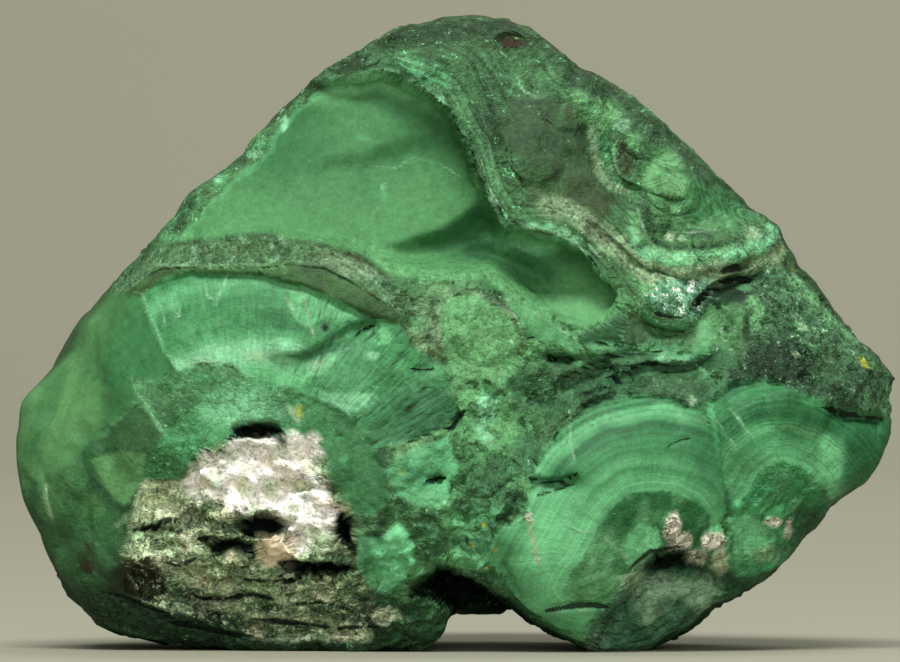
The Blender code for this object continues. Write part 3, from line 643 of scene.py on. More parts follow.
# Heights of the fine relief, in millimetres
FIBRE_HEIGHT = 0.06
BAND_HEIGHT = 0.04
SWELL_HEIGHT = 0.12
LAYER_HEIGHT = 0.28
LUMP_HEIGHT = 0.22
CHIP_HEIGHT = 0.35
SAND_HEIGHT = 0.25
PORE_HEIGHT = 0.3
CRANNY_DEPTH = 0.7
STRATA_HEIGHT = 0.6
RIM_STEP_HEIGHT = 0.35


def ridges(points, size, seed, sharpness=2.0):
    """Random ridges about size apart, 1 along their crests."""
    return 1 - sharpness * np.abs(noise(points, size, seed))


def fine_relief(points, front, out, along, around):
    """Height of the fibres, layers, grains and cracks over the rough skin."""
    height = np.zeros(len(points))
    x, z = points[front, 0], points[front, 2]
    place = points[front]
    flat = np.column_stack([x, x * 0, z])

    fans = smooth(-0.5, 0.5, inside_any(x, z, LEFT_FAN, RIGHT_FAN, SECOND_FAN))
    fibres = np.column_stack([around[front], along[front] * 0.12, x * 0])
    bands = np.column_stack([along[front] * 2.2, around[front] * 0.05, x * 0])
    fine = FIBRE_HEIGHT * noise(fibres, 1.1, 21) + BAND_HEIGHT * noise(bands, 1.4, 22)
    fine = fans * (fine + SWELL_HEIGHT * noise(place, 3.2, 33))

    bowl = smooth(0.5, 2, inside(x, z, BOWL_EDGE))
    fine += bowl * SWELL_HEIGHT * noise(flat, 7, 23)

    off = near(x, z, STRIP_EDGE)[0]
    layered = smooth(7, 1, np.abs(off)) * (1 - bowl) * smooth(44, 48, z)
    wave = off * 1.1 + 0.5 * noise(place, 2.5, 24)
    fine += layered * LAYER_HEIGHT * np.abs(wave - np.round(wave)) * 2

    crust = smooth(0, 1.5, inside(x, z, CRUST))
    smooth_crust = smooth(-0.5, 1, inside(x, z, OLIVE))
    lumps = LUMP_HEIGHT * ridges(place, 2.6, 25) + SWELL_HEIGHT * noise(place, 0.9, 26)
    fine += crust * (1 - layered) * (1 - smooth_crust) * lumps

    flat_facets = np.zeros(len(x))
    for ring, _, _ in FACETS:
        flat_facets = np.maximum(flat_facets, smooth(-0.2, 0.3, inside(x, z, ring)))

    grainy = smooth(-0.3, 0.8, inside_any(x, z, DRUSE, SUGARY, NODULE))
    grainy = np.maximum(grainy, smooth(1.5, 0, np.abs(inside(x, z, RIM_BAND)) - 1) * 0.4)
    rough = 1 - np.maximum.reduce([fans, bowl, crust, smooth(-0.5, 0.5, inside(x, z, LEFT_DARK))])
    rough *= 1 - 0.75 * smooth(-36, -40, x) * smooth(8, 12, z)
    rough *= (0.35 + 0.65 * smooth(0.99, 0.93, out[front])) * (1 - 0.85 * flat_facets)
    band = smooth(-0.5, 0.5, inside(x, z, INNER_BAND))
    rough *= 1 - 0.55 * band
    for line, _, _ in LEDGES:
        rough *= 1 - 0.8 * smooth(1, 0.4, np.abs(near(x, z, line)[0]))
    sandy = np.maximum(smooth(-0.3, 0.8, inside(x, z, NODULE)), smooth(-0.3, 0.5, inside(x, z, RIM_BAND)))
    grainy *= 1 - 0.6 * sandy
    rough *= 1 - 0.7 * sandy
    fine += (0.16 * grainy + 0.24 * rough) * noise(place, 0.75, 27)
    fine += rough * (CHIP_HEIGHT * noise(place, 2.2, 28) + LUMP_HEIGHT * ridges(place, 1.4, 34, 2.4))
    fine += grainy * SAND_HEIGHT * noise(place, 1.6, 35)

    blob = smooth(2.8, 2.1, np.hypot(x - TAN_BLOB[0], z - TAN_BLOB[1]))
    matrix = smooth(-0.3, 0.8, inside(x, z, MATRIX_EDGE)) * (1 - 0.9 * blob)
    pores = noise(place * [0.7, 1, 1.2], 0.8, 29)
    crannies = smooth(0.1, 0.5, noise(place * [0.55, 1, 1.4], 1.6, 30))
    white = smooth(-0.5, 0.5, inside(x, z, WHITE))
    strata = ridges(place * [0.35, 0.6, 1], 1.7, 39, 2.2)
    fine += matrix * (PORE_HEIGHT * pores - CRANNY_DEPTH * crannies + PORE_HEIGHT * noise(place, 0.55, 36))
    fine += matrix * (1 - white) * (STRATA_HEIGHT * strata - 0.2 * crannies)
    skirt = smooth(8, 4, z) * smooth(-46, -40, x) * smooth(-1, -4, x) * (1 - matrix)
    fine += skirt * (0.4 * ridges(place * [0.6, 1, 1.2], 2.4, 37, 2.4) + 0.2 * noise(place, 0.9, 38))

    for line, half, deep in SEAMS:
        if deep:
            off, progress = near(x, z, line)
            taper = smooth(0, 0.2, progress) * smooth(1, 0.8, progress)
            fine -= deep * taper * np.exp(-((off / max(half * 1.3, 0.3)) ** 2))

    step = near(x, z, RIM_STEP)[0]
    rim = smooth(-0.4, 0.4, inside(x, z, RIM_BAND))
    fine += RIM_STEP_HEIGHT * smooth(-0.3, 0.3, step) * smooth(4, 1, step) * rim

    height[front] = fine
    rest = ~front
    height[rest] = 0.16 * ridges(points[rest], 2.8, 31) + 0.1 * noise(points[rest], 1.1, 32)
    return height


# Colours, each as red, green and blue from 0 to 255 on the screen

COLOURS = {
    "weathered": (49, 82, 49),
    "weathered_light": (70, 111, 68),
    "weathered_dark": (34, 61, 34),
    "weathered_brown": (58, 67, 39),
    "bowl": (57, 111, 66),
    "bowl_light": (73, 128, 77),
    "bowl_dark": (38, 92, 53),
    "rim_light": (135, 181, 142),
    "rim_grey": (76, 112, 73),
    "rim_olive": (59, 95, 52),
    "fan_edge": (128, 195, 146),
    "fan_bright": (111, 187, 129),
    "fan_light": (88, 157, 104),
    "fan": (62, 125, 76),
    "fan_dark": (39, 96, 56),
    "fan_soft": (75, 135, 89),
    "fan_deep": (41, 89, 55),
    "facet": (85, 145, 94),
    "facet_grey": (68, 98, 68),
    # Painted shade, laid in hollows, under ledges and in a hole
    "hollow_shade": (37, 77, 46),
    # Painted shade, laid in the deep crevice below the crust's lower edge
    "crevice_shade": (15, 31, 22),
    "left_deep": (49, 87, 51),
    "layer_light": (74, 122, 76),
    "layer_dark": (30, 57, 32),
    "fan_ring": (90, 157, 105),
    "left_dark": (51, 103, 58),
    "left_light": (87, 137, 83),
    "inner_band": (82, 130, 86),
    "white": (255, 250, 243),
    "grey_matrix": (223, 236, 193),
    "low_matrix": (151, 181, 130),
    "low_light": (188, 208, 163),
    "low_green": (34, 61, 37),
    "tan": (235, 218, 183),
    "brown": (39, 39, 20),
    "rust": (55, 37, 24),
    "olive": (52, 76, 49),
    "olive_brown": (56, 73, 43),
    "tan_band": (131, 161, 120),
    "crust_green": (70, 114, 70),
    "crust_bright": (102, 161, 102),
    "crust_dark": (34, 57, 33),
    "crust_clear": (55, 106, 60),
    "druse": (62, 100, 65),
    "druse_dark": (27, 50, 30),
    "sugary": (90, 144, 108),
    "nodule": (102, 160, 104),
    "nodule_edge": (113, 133, 104),
    "moss": (86, 141, 87),
    "moss_dark": (43, 81, 51),
    "moss_grey": (109, 144, 102),
    "core": (40, 94, 51),
    "core_mid": (68, 126, 76),
    "core_light": (105, 168, 113),
    "second_core": (68, 145, 90),
    "pink": (226, 220, 198),
    "under": (82, 131, 95),
    "under_light": (159, 197, 158),
    # Near black: painted shade in the matrix holes, the gap between the lobes and under the slab, and in
    # the shader painted shade in cracks and painted shade and dirt in furrows and pits; also two small
    # spots on the left fan
    "dark": (7, 19, 12),
    "slab": (115, 199, 139),
    "patch": (84, 152, 102),
    "pale_line": (149, 181, 140),
    "vein": (150, 192, 152),
    "pink_line": (166, 152, 125),
    "yellow": (170, 180, 60),
}

# The right fans' colours, by the distance in millimetres out from the core
RIGHT_RINGS = [
    (0, "fan_dark"), (0.3, "fan_light"), (1.6, "fan_light"), (2.6, "fan"), (3.2, "fan_light"), (4.5, "fan"),
    (6.2, "fan"), (7.6, "fan_dark"), (8.2, "fan"), (8.8, "fan_ring"), (9.4, "fan_light"), (9.8, "fan_dark"),
    (10.4, "fan"), (11.5, "fan_dark"), (14, "fan_dark"),
]
SECOND_RINGS = [
    (0, "second_core"), (0.2, "fan_bright"), (1, "fan_ring"), (2.4, "fan_light"), (3.2, "fan"),
    (4, "fan_light"), (4.8, "fan"), (5.6, "fan_dark"), (7, "fan_dark"), (7.6, "fan"), (8.2, "fan_dark"),
    (9, "fan"), (10, "fan_dark"), (14, "fan_dark"),
]
LEFT_RINGS = [
    (14, "fan_light"), (16.2, "fan_bright"), (17, "fan_edge"), (18.8, "fan_edge"), (19.6, "fan_light"),
    (20.8, "fan"), (23, "fan"), (24.6, "fan"), (25.3, "fan_light"), (26.4, "fan_light"), (27, "fan"),
]
CORE_RINGS = [(0, "core"), (2.4, "core"), (4.4, "core_mid"), (6, "core_mid")]

LOBE_RINGS = [
    (0, "crust_green"), (0.4, "layer_dark"), (0.8, "crust_bright"), (1.5, "fan_edge"), (2.4, "fan_bright"),
    (3.1, "weathered_brown"), (4.2, "tan_band"), (5, "tan_band"),
]
ARC_RINGS = [
    (2.4, "crust_green"), (3.2, "layer_light"), (3.8, "layer_dark"), (4.4, "layer_light"),
    (5.2, "crust_dark"),
]

# Pale lines as (line, half width): pale veins and hairlines, and painted highlights on the bowl's rim, its
# lip and the ledges' lips
VEINS = [
    # The rim's pale edge, brightened as a painted highlight
    (RIM_EDGE[3:], 0.2),
    ([(-38, 42.2), (-36, 41.6), (-35, 39.5), (-34, 37), (-33, 34.7), (-31.7, 32.7)], 0.12),
    ([(-31.5, 32.9), (-30.3, 33.6), (-29, 34.1), (-27, 33.8), (-25.5, 33.6), (-24, 32.3),
      (-22, 31.9)], 0.24),
    ([(-32.6, 41.6), (-32.4, 40.2), (-31.6, 39), (-31.4, 40.6)], 0.12),
    ([(-26, 44), (-26.7, 42), (-27.8, 40.2)], 0.12),
    ([(-28.6, 42.6), (-28.4, 41.2), (-27.6, 41)], 0.12),
    ([(-34.4, 41.6), (-33.6, 39.6), (-33.2, 38)], 0.12),
    ([(-17.6, 42.3), (-17, 40), (-16.7, 38), (-15.9, 36.4)], 0.12),
    ([(-19.8, 41.6), (-18.9, 40.4), (-18.6, 39.4)], 0.12),
    ([(-22.5, 35.6), (-20, 36.4), (-18.6, 35.9), (-17, 35.2)], 0.12),
    ([(-17.3, 34.2), (-16.3, 33), (-15, 33.6), (-14.6, 32.4)], 0.12),
    ([(-13.8, 33.8), (-13.2, 34.9), (-12, 35.6)], 0.12),
    ([(-10.2, 34.4), (-9.2, 34.9), (-8.6, 34.6)], 0.16),
    ([(-37.2, 31.8), (-36.2, 30), (-35, 28.3), (-34.2, 27), (-33.4, 25.8)], 0.14),
    ([(-19.4, 26.3), (-18.7, 26.8), (-18.2, 28)], 0.13),
    ([(-10, 56.3), (-7, 56), (-5, 57.2), (-2, 56.5), (0.4, 55)], 0.12),
    ([(-8.6, 52.6), (-8.2, 53.4), (-8.7, 53.8), (-7.9, 54.4)], 0.12),
    # The lip's pale edge, brightened as a painted highlight
    ([(5.3, 49), (8, 49.3), (10.5, 49.5), (12.6, 48.5), (13.6, 47.6)], 0.16),
    ([(15, 47.2), (18, 43.8), (20.6, 40.6), (22.6, 38.4), (25.6, 37.7), (26.6, 38)], 0.13),
    ([(5.6, 41), (8.6, 39.6), (10.6, 38.2), (12.8, 36.9), (14.2, 35.3)], 0.13),
    # Pale lips along the cracks and ledges: painted highlights
    ([(11.4, 32.2), (13, 33.2), (15, 34)], 0.12),
    ([(15.2, 35.5), (16.6, 35.4), (18.3, 35.6)], 0.12),
    ([(16, 33.3), (18, 33.7), (20.4, 33.4)], 0.12),
    ([(26.8, 33.7), (28.2, 34.2), (29.6, 35.1)], 0.12),
    ([(27.2, 33.6), (28.2, 32.8), (29.1, 31.9)], 0.12),
    ([(30, 40), (30.4, 38.6), (30.2, 37), (30.8, 35)], 0.12),
    ([(28.6, 28.6), (30.4, 26), (32, 23.6)], 0.12),
    ([(31, 28.6), (32.6, 26.6), (34, 24.8)], 0.12),
    ([(13, 27.2), (12.8, 24.8), (13.6, 22)], 0.12),
    ([(8.1, 17), (8.4, 15.4), (9, 13), (9.5, 10.4)], 0.12),
    ([(16.8, 14), (18, 12.8), (20, 11.2)], 0.12),
    ([(12.4, 15.6), (14.2, 14.4), (15.6, 14.6)], 0.12),
    ([(20.2, 10.4), (19.3, 9), (18.5, 7.5)], 0.12),
    ([(8.9, 19.9), (10.4, 19.6), (12, 19.9)], 0.12),
    ([(10.4, 5.3), (13, 5.4), (15, 5.6), (17, 5.6)], 0.12),
    ([(-36.3, 15.2), (-35.9, 17.4), (-35.6, 19.6), (-35.2, 20.4)], 0.12),
    ([(-47, 20), (-47, 18), (-46.2, 15.5)], 0.12),
    ([(-6.5, 19.4), (-7.4, 17.6), (-6.6, 15.6)], 0.12),
    ([(15.7, 62), (16, 58), (16.5, 55.6), (17.6, 54.2), (20, 53.2)], 0.13),
    ([(18.9, 54.8), (18, 56.5), (18.1, 58.6), (19, 59.8)], 0.12),
    ([(7, 66.4), (7.6, 64.8), (9.4, 63.9), (11, 64.4)], 0.12),
    ([(20.6, 51.6), (21.3, 49), (22.6, 46.8), (25, 45.8), (28, 45.8), (31, 47)], 0.12),
    ([(24, 48.6), (26.6, 48.6), (30, 48.9), (33, 50)], 0.12),
    ([(2.4, 58), (3, 55.6), (3.8, 53.4), (5, 51.4)], 0.12),
    ([(3.6, 59), (4.2, 56), (5, 53)], 0.12),
    ([(-7, 68.7), (-5, 67.9), (-3, 66), (-1.6, 64.6)], 0.12),
    ([(1, 66), (2.4, 63), (3.6, 60), (5.4, 58)], 0.12),
    ([(-36, 44.9), (-33.5, 44.9), (-28, 44.9), (-22, 45)], 0.12),
    ([(-14, 45.6), (-11.6, 44.6), (-9.4, 43), (-7.2, 40.8)], 0.12),
]

# Cracks and seams as (line, half width, depth of the groove), drawn near black: partly their own dark
# lines, partly painted shade inside the cracks and under the ledges' lips
SEAMS = [
    ([(11.2, 31.4), (12.5, 32.1), (13.7, 32.6), (15, 33.3), (15.8, 33.6)], 0.3, 0.2),
    ([(17, 33.8), (18.2, 34.2), (19.5, 34.5), (21, 34.6), (23.6, 35)], 0.22, 0.2),
    ([(15.9, 32.9), (18, 33.3), (20.8, 33.5)], 0.12, 0),
    ([(17, 32), (18.5, 32.4), (20.3, 33), (21.3, 33.5), (22.5, 33.6), (24.2, 33.5)], 0.3, 0.2),
    ([(14.5, 35.2), (15.5, 35.7), (17, 35.85), (18, 35.8), (18.6, 35.3)], 0.25, 0.6),
    ([(16.2, 34.5), (17.6, 34.8)], 0.14, 0),
    ([(13.6, 30.1), (15.4, 30.5), (17, 30.9), (18.8, 31.4), (20.4, 31.7)], 0.16, 0.3),
    ([(22.4, 39.4), (24, 38.9), (26, 38.8)], 0.13, 0.2),
    ([(26.2, 39), (27.2, 40.2), (28.2, 41.3), (29.4, 42.3), (30.6, 43), (32.2, 43.3),
      (34, 43.1)], 0.36, 0.7),
    ([(30, 43.9), (31.2, 44.4), (32.6, 44.5), (34, 44.9)], 0.28, 0.5),
    ([(41.6, 28.7), (44, 28), (46, 27.8), (48.8, 27.3)], 0.36, 0.6),
    ([(8, 36.5), (8.5, 36.4), (9, 36.8)], 0.16, 0.3),
    ([(14.9, 46), (15.6, 45.2), (16.2, 44), (17.2, 42.6), (18.4, 41)], 0.1, 0),
    ([(8, 20.7), (9.5, 20.3), (11, 20.1), (12.3, 20.4), (13.9, 21.3)], 0.2, 0.6),
    ([(9, 18.6), (10.5, 19.1), (12, 19.5), (13.7, 20.1)], 0.1, 0.2),
    ([(10, 5.4), (12, 5.9), (14, 6.2), (15.5, 6.2), (17.2, 5.9)], 0.26, 0.7),
    ([(24, 24.2), (25, 24.8), (26.6, 25.2)], 0.09, 0.2),
    ([(19.5, 10.2), (22, 12.3), (26.1, 12.9)], 0.2, 0),
    ([(-11.8, 36.6), (-10.6, 37.5), (-9.2, 38.1)], 0.1, 0.3),
    ([(-5.1, 33.1), (-4.2, 32.8), (-3.4, 32.8), (-2.3, 33.3)], 0.16, 0.5),
    ([(-4.3, 30.3), (-3.5, 30.8), (-2.8, 31.3)], 0.17, 0.4),
    ([(-1.4, 26.2), (-0.5, 26.3), (0.3, 27.4), (0.9, 28.2)], 0.22, 0.6),
    ([(-3.5, 20.3), (-2.5, 20.5), (-1.3, 20.6)], 0.26, 0.6),
    ([(-36.8, 14.6), (-34.6, 14.9), (-33, 15.6), (-31, 15.7), (-29.4, 15.2)], 0.32, 0.6),
    ([(-29.6, 13.7), (-27.8, 13.4), (-26.4, 12.7), (-24, 12.2)], 0.34, 0.6),
    ([(-20.6, 10.5), (-18, 10.7), (-16, 10.2), (-13.6, 10.5), (-11.6, 9.9)], 0.34, 0.6),
    ([(-25.8, 25.1), (-24, 25.8), (-22.4, 25.6), (-21.6, 26.5), (-20, 26.3)], 0.4, 0.5),
    ([(-30.4, 22.2), (-29.6, 22.9), (-28.4, 23.8), (-27, 23.5)], 0.2, 0.4),
    ([(-12.9, 16.8), (-13, 15.4), (-12.4, 13.4), (-11.6, 12)], 0.34, 0.6),
    ([(-16, 21.4), (-15, 19.9), (-14, 18.2)], 0.18, 0.4),
    ([(-33, 4), (-29.5, 3.4), (-26, 2.6), (-23, 2.4)], 0.2, 0.4),
    ([(-41, 7.5), (-38, 6.9), (-35, 5.6), (-31, 4.6)], 0.2, 0.4),
    ([(-34, 11), (-31.6, 10.6), (-29.6, 11.4)], 0.2, 0.3),
    ([(-31, 7), (-27, 6.6), (-23.6, 7.2), (-20.8, 6.7)], 0.18, 0.4),
    ([(-24.4, 9), (-21, 8.6), (-18, 9)], 0.22, 0.4),
    ([(-19, 6), (-15, 6.4), (-12, 5.4)], 0.18, 0.4),
    ([(-24, 4.4), (-19, 4), (-14, 3.4), (-9, 3.6)], 0.22, 0.4),
    ([(-35.5, 43.6), (-33.5, 44.5), (-28, 44.5), (-22, 44.5), (-19, 44.9), (-15, 44.4), (-12, 42.9),
      (-8, 40.4)], 0.07, 0),
]

# Strokes of colour as (line, colour, half width, strength). Some are painted light and shade, each marked
# where it stands
STROKES = [
    # The rim's pale edge, brightened as a painted highlight
    (RIM_EDGE[3:], "fan_light", 0.45, 0.6),
    ([(x + 1.6, z + 0.4) for x, z in RIM_EDGE[9:17]], "layer_light", 0.7, 0.7),
    # Painted light along the lip and the strip under it
    ([(5.3, 49), (8, 49.2), (10.5, 49.3), (12.5, 48.4), (14, 47.4)], "fan_bright", 0.5, 0.7),
    ([(-36, 41.4), (-35, 39.3), (-34, 36.8), (-33, 34.5)], "fan_bright", 0.25, 0.6),
    ([(15.5, 62), (15.8, 58), (16.3, 55.5), (17.5, 54), (20, 53)], "tan_band", 0.55, 0.8),
    ([(16.6, 60), (17.2, 57), (18.2, 59)], "fan", 0.8, 0.6),
    ([(18, 59), (17.8, 57), (17.6, 55.6)], "crust_bright", 0.3, 0.7),
    ([(8, 16.8), (8.3, 15.5), (8.8, 13), (9.4, 10.5)], "pink_line", 0.22, 0.8),
    ([(-19.5, 41.5), (-18.5, 40), (-18, 39)], "pink_line", 0.2, 0.3),
    ([(-17.5, 42), (-17, 40), (-16.6, 38), (-16, 36.5)], "pink_line", 0.15, 0.3),
    ([(-26.2, 43.4), (-26.6, 41.8), (-27.6, 40)], "fan_edge", 0.2, 0.3),
    ([(-32.6, 41.5), (-32.3, 40), (-31.8, 38.6)], "fan_edge", 0.2, 0.3),
    # Painted light in the shade below the bowl's first ridge
    ([(0, 59), (-3, 56.8), (-5, 57), (-6.5, 55.8)], "bowl_light", 0.25, 0.6),
    # Painted shade along the bowl's third ridge
    ([(0.4, 47.6), (2.5, 47.5), (5, 46.8), (7, 46), (9, 45.2), (11.6, 43)], "bowl_dark", 0.7, 0.85),
    ([(16.4, 45.2), (18, 42.9), (20, 40.8), (21.6, 39.3)], "layer_light", 0.35, 0.7),
    ([(18.6, 44.2), (20.4, 42), (22, 40.2)], "layer_light", 0.25, 0.6),
    ([(17.4, 45), (19.4, 42.4), (21.4, 40.2)], "layer_dark", 0.3, 0.6),
    ([(-12, 67.6), (-8.4, 68.6), (-4.6, 69.6), (-1, 68.6), (1.6, 65.4),
      (3.4, 62)], "layer_light", 0.3, 0.7),
    ([(1, 68.4), (3, 65), (4.4, 61.6), (5.6, 58)], "layer_dark", 0.5, 0.6),
    ([(20, 51.5), (20.6, 48.6), (22.8, 46.2), (27, 45.2), (31, 46.6)], "crust_bright", 0.5, 0.7),
    ([(21.6, 53), (21.9, 49.8), (23, 48.4)], "crust_dark", 0.35, 0.7),
    ([(21, 52.6), (21.5, 49.6), (22.6, 47.8), (24.4, 46.8), (29, 46.8), (33, 48)], "layer_dark", 0.3, 0.6),
    ([(26, 49.4), (30, 49.2), (33, 50.6)], "crust_bright", 0.4, 0.6),
    ([(20.5, 40), (22.5, 38.3), (25, 37.8), (27, 37.9)], "fan", 0.5, 0.7),
    # Painted highlight along the crack's lip
    ([(14.5, 35.6), (16.5, 36.1), (18.4, 35.8)], "fan_light", 0.35, 0.7),
    ([(19, 34.9), (22, 35.2), (27, 34.2), (29.5, 35.3)], "fan", 0.5, 0.7),
    # Painted highlight along a ledge's edge
    ([(27.2, 33.8), (29, 32)], "fan_light", 0.25, 0.7),
    ([(-37, 31.7), (-36, 30), (-35, 28.5), (-33.5, 26), (-32.5, 24.5)], "fan_light", 0.45, 0.5),
    ([(-44.5, 35), (-43.5, 30), (-43, 26)], "left_light", 0.8, 0.5),
    ([(-47, 20), (-47, 18), (-46.2, 15.5)], "pale_line", 0.3, 0.5),
    ([(-35.9, 20), (-36.2, 18.5), (-36.9, 16.5), (-39.5, 15)], "pale_line", 0.3, 0.6),
    ([(-19.5, 29), (-18.6, 28), (-17.6, 26.8)], "pale_line", 0.3, 0.8),
    ([(20.3, 10.2), (18.6, 7.8)], "pale_line", 0.25, 0.6),
    ([(16.8, 14), (18, 12.8), (20, 11)], "pale_line", 0.2, 0.4),
    ([(12, 26.5), (12.6, 24.6), (13.2, 22)], "fan_light", 0.25, 0.4),
    ([(31.5, 28.3), (33.5, 25)], "fan_light", 0.25, 0.5),
    ([(28.4, 28), (32, 23.8)], "fan_light", 0.25, 0.4),
    ([(38, 43.8), (41, 41.2), (44, 38.4), (46.5, 36)], "crust_bright", 0.8, 0.6),
    ([(-18.4, 30.6), (-15.6, 29.4), (-12.4, 28), (-11.2, 27.3), (-10, 26), (-9.1, 24), (-8.2, 21),
      (-7.8, 18.4)], "fan_deep", 0.22, 0.8),
    ([(-42, 21.3), (-41, 20), (-39, 18), (-36.9, 16.2)], "fan_deep", 0.3, 0.9),
    ([(-41.6, 24.4), (-39.6, 26.2), (-37.2, 28.6), (-35.6, 30)], "fan_light", 0.25, 0.4),
]

# Spots of colour as (x, z, half width, half height, colour, strength)
SPOTS = [
    (6.3, 70.4, 1.6, 0.9, "rust", 0.95),
    (-19.8, 61.2, 0.4, 0.9, "fan_edge", 0.8),
    (-23.3, 57.6, 1.1, 0.4, "fan_edge", 0.6),
    (-27.4, 54.7, 0.5, 0.4, "fan_edge", 0.6),
    (-8.4, 53, 0.4, 1.0, "fan_light", 0.35),
    (12.9, 62.4, 0.5, 1.5, "rust", 0.5),
    (19.3, 57, 1.1, 1.8, "rust", 0.5),
    (14.3, 64, 1.2, 0.8, "crust_bright", 0.7),
    (19.2, 61, 0.8, 0.8, "rim_light", 0.35),
    (20.4, 59.2, 0.8, 1.2, "crust_bright", 0.6),
    (24.4, 48.1, 0.5, 0.4, "pale_line", 0.9),
    (25.7, 48, 0.4, 0.35, "rim_light", 0.8),
    (34, 48.5, 1.2, 0.9, "pale_line", 0.6),
    (37.5, 47, 0.3, 0.25, "yellow", 0.4),
    (38.6, 44.6, 0.35, 0.28, "yellow", 0.7),
    (46.7, 33.7, 0.5, 0.3, "yellow", 0.9),
    (-17.9, 28.2, 0.3, 0.7, "yellow", 0.6),
    (-14.8, 37.7, 0.45, 0.42, "dark", 0.95),
    (-15.6, 38.3, 0.35, 0.3, "dark", 0.3),
    (3, 15.3, 0.2, 0.25, "yellow", 0.8),
    (1.8, 13, 0.2, 0.35, "yellow", 0.6),
    (4.3, 12.5, 0.35, 0.25, "yellow", 0.9),
    (3.4, 10.4, 0.35, 0.2, "yellow", 0.9),
    (-6.2, 21.4, 0.4, 0.3, "yellow", 0.25),
    (-10.8, 59.4, 1.0, 0.5, "fan_light", 0.4),
    (-1.7, 63.6, 0.35, 0.5, "fan_edge", 0.8),
    (-9.4, 34.6, 0.7, 0.4, "fan_edge", 0.8),
    (-22.7, 34.6, 1.2, 0.5, "pale_line", 0.5),
    (-15.5, 33.6, 1.0, 0.6, "pale_line", 0.4),
    (-39.4, 31.4, 0.45, 0.5, "fan_dark", 0.8),
    (-38.2, 32.2, 0.5, 0.4, "fan_dark", 0.8),
    (-35.7, 33.8, 0.4, 0.4, "fan_dark", 0.7),
    (-41.4, 31.9, 0.3, 0.3, "fan_dark", 0.6),
    (-38.6, 30.8, 0.3, 0.3, "fan_dark", 0.6),
    (-37.4, 33.2, 0.2, 0.5, "fan_dark", 0.6),
    (-42.2, 10.3, 0.8, 0.7, "rust", 0.75),
    (-42.2, 12.5, 0.3, 0.8, "rust", 0.6),
    (-34.2, 7.3, 0.9, 1.2, "rust", 0.8),
    (-47.6, 15.2, 0.3, 0.4, "rust", 0.6),
    (-29, 9, 0.8, 1.3, "tan", 0.6),
    (-25.8, 11.2, 0.9, 0.5, "tan", 0.5),
    (-33.6, 11.4, 1.2, 1.0, "grey_matrix", 0.8),
    (-8, 4.9, 1.4, 0.9, "grey_matrix", 0.7),
    (23.6, 27, 0.3, 0.35, "fan_dark", 0.8),
    (24.2, 26.9, 0.25, 0.3, "fan_dark", 0.7),
    (24.8, 26.9, 0.25, 0.3, "fan_dark", 0.8),
    (25.6, 26.8, 0.2, 0.25, "fan_dark", 0.7),
    (26.8, 26.6, 0.25, 0.25, "fan_dark", 0.5),
    (37.5, 28.6, 1.7, 1.7, "core", 0.8),
    (24.6, 14.6, 1.0, 1.9, "pink", 0.95),
    (26, 13.6, 0.9, 1.0, "pink", 0.9),
    (29.2, 13.4, 1.2, 0.8, "pink", 0.95),
    (27.2, 11.5, 1.2, 0.8, "pink", 0.8),
    (36.3, 15.5, 0.9, 0.6, "pink", 0.9),
    (37.8, 14.8, 0.5, 1.2, "pink", 0.6),
    (35, 12, 1.7, 1.2, "tan_band", 0.6),
    (30, 11.2, 0.9, 1.4, "grey_matrix", 0.6),
    (27.5, 7.6, 2.2, 1.6, "under_light", 0.8),
    (21, 9, 2.2, 0.8, "under_light", 0.6),
    (24.3, 40.2, 0.5, 0.3, "rim_light", 0.9),
    (33.2, 42.2, 0.9, 0.4, "facet", 0.6),
    (39.7, 37.8, 0.4, 0.4, "pale_line", 0.7),
    (38.9, 34.5, 0.4, 0.35, "pale_line", 0.8),
    (40.6, 35.6, 0.5, 0.4, "crust_bright", 0.7),
    (21, 22.2, 0.2, 0.2, "fan_dark", 0.6),
    (8.2, 16.3, 0.3, 0.5, "pink", 0.8),
    (4, 30.2, 1.2, 0.9, "fan_bright", 0.6),
    (3.4, 27.8, 1.2, 2.4, "fan_edge", 0.75),
    (-4.5, 38, 1.0, 0.9, "fan_light", 0.4),
    (26.7, 29.3, 0.4, 0.5, "pale_line", 0.7),
]


def linear(name):
    """A named colour as the renderer counts light."""
    value = np.array(COLOURS[name]) / 255
    return np.where(value < 0.04045, value / 12.92, ((value + 0.055) / 1.055) ** 2.4)


# What a place looks like besides its colour: how flecked, creviced, grainy and so on it is
LOOKS = ("flecked", "crevice", "grain", "ringing", "fibrous", "faceted", "gloss")


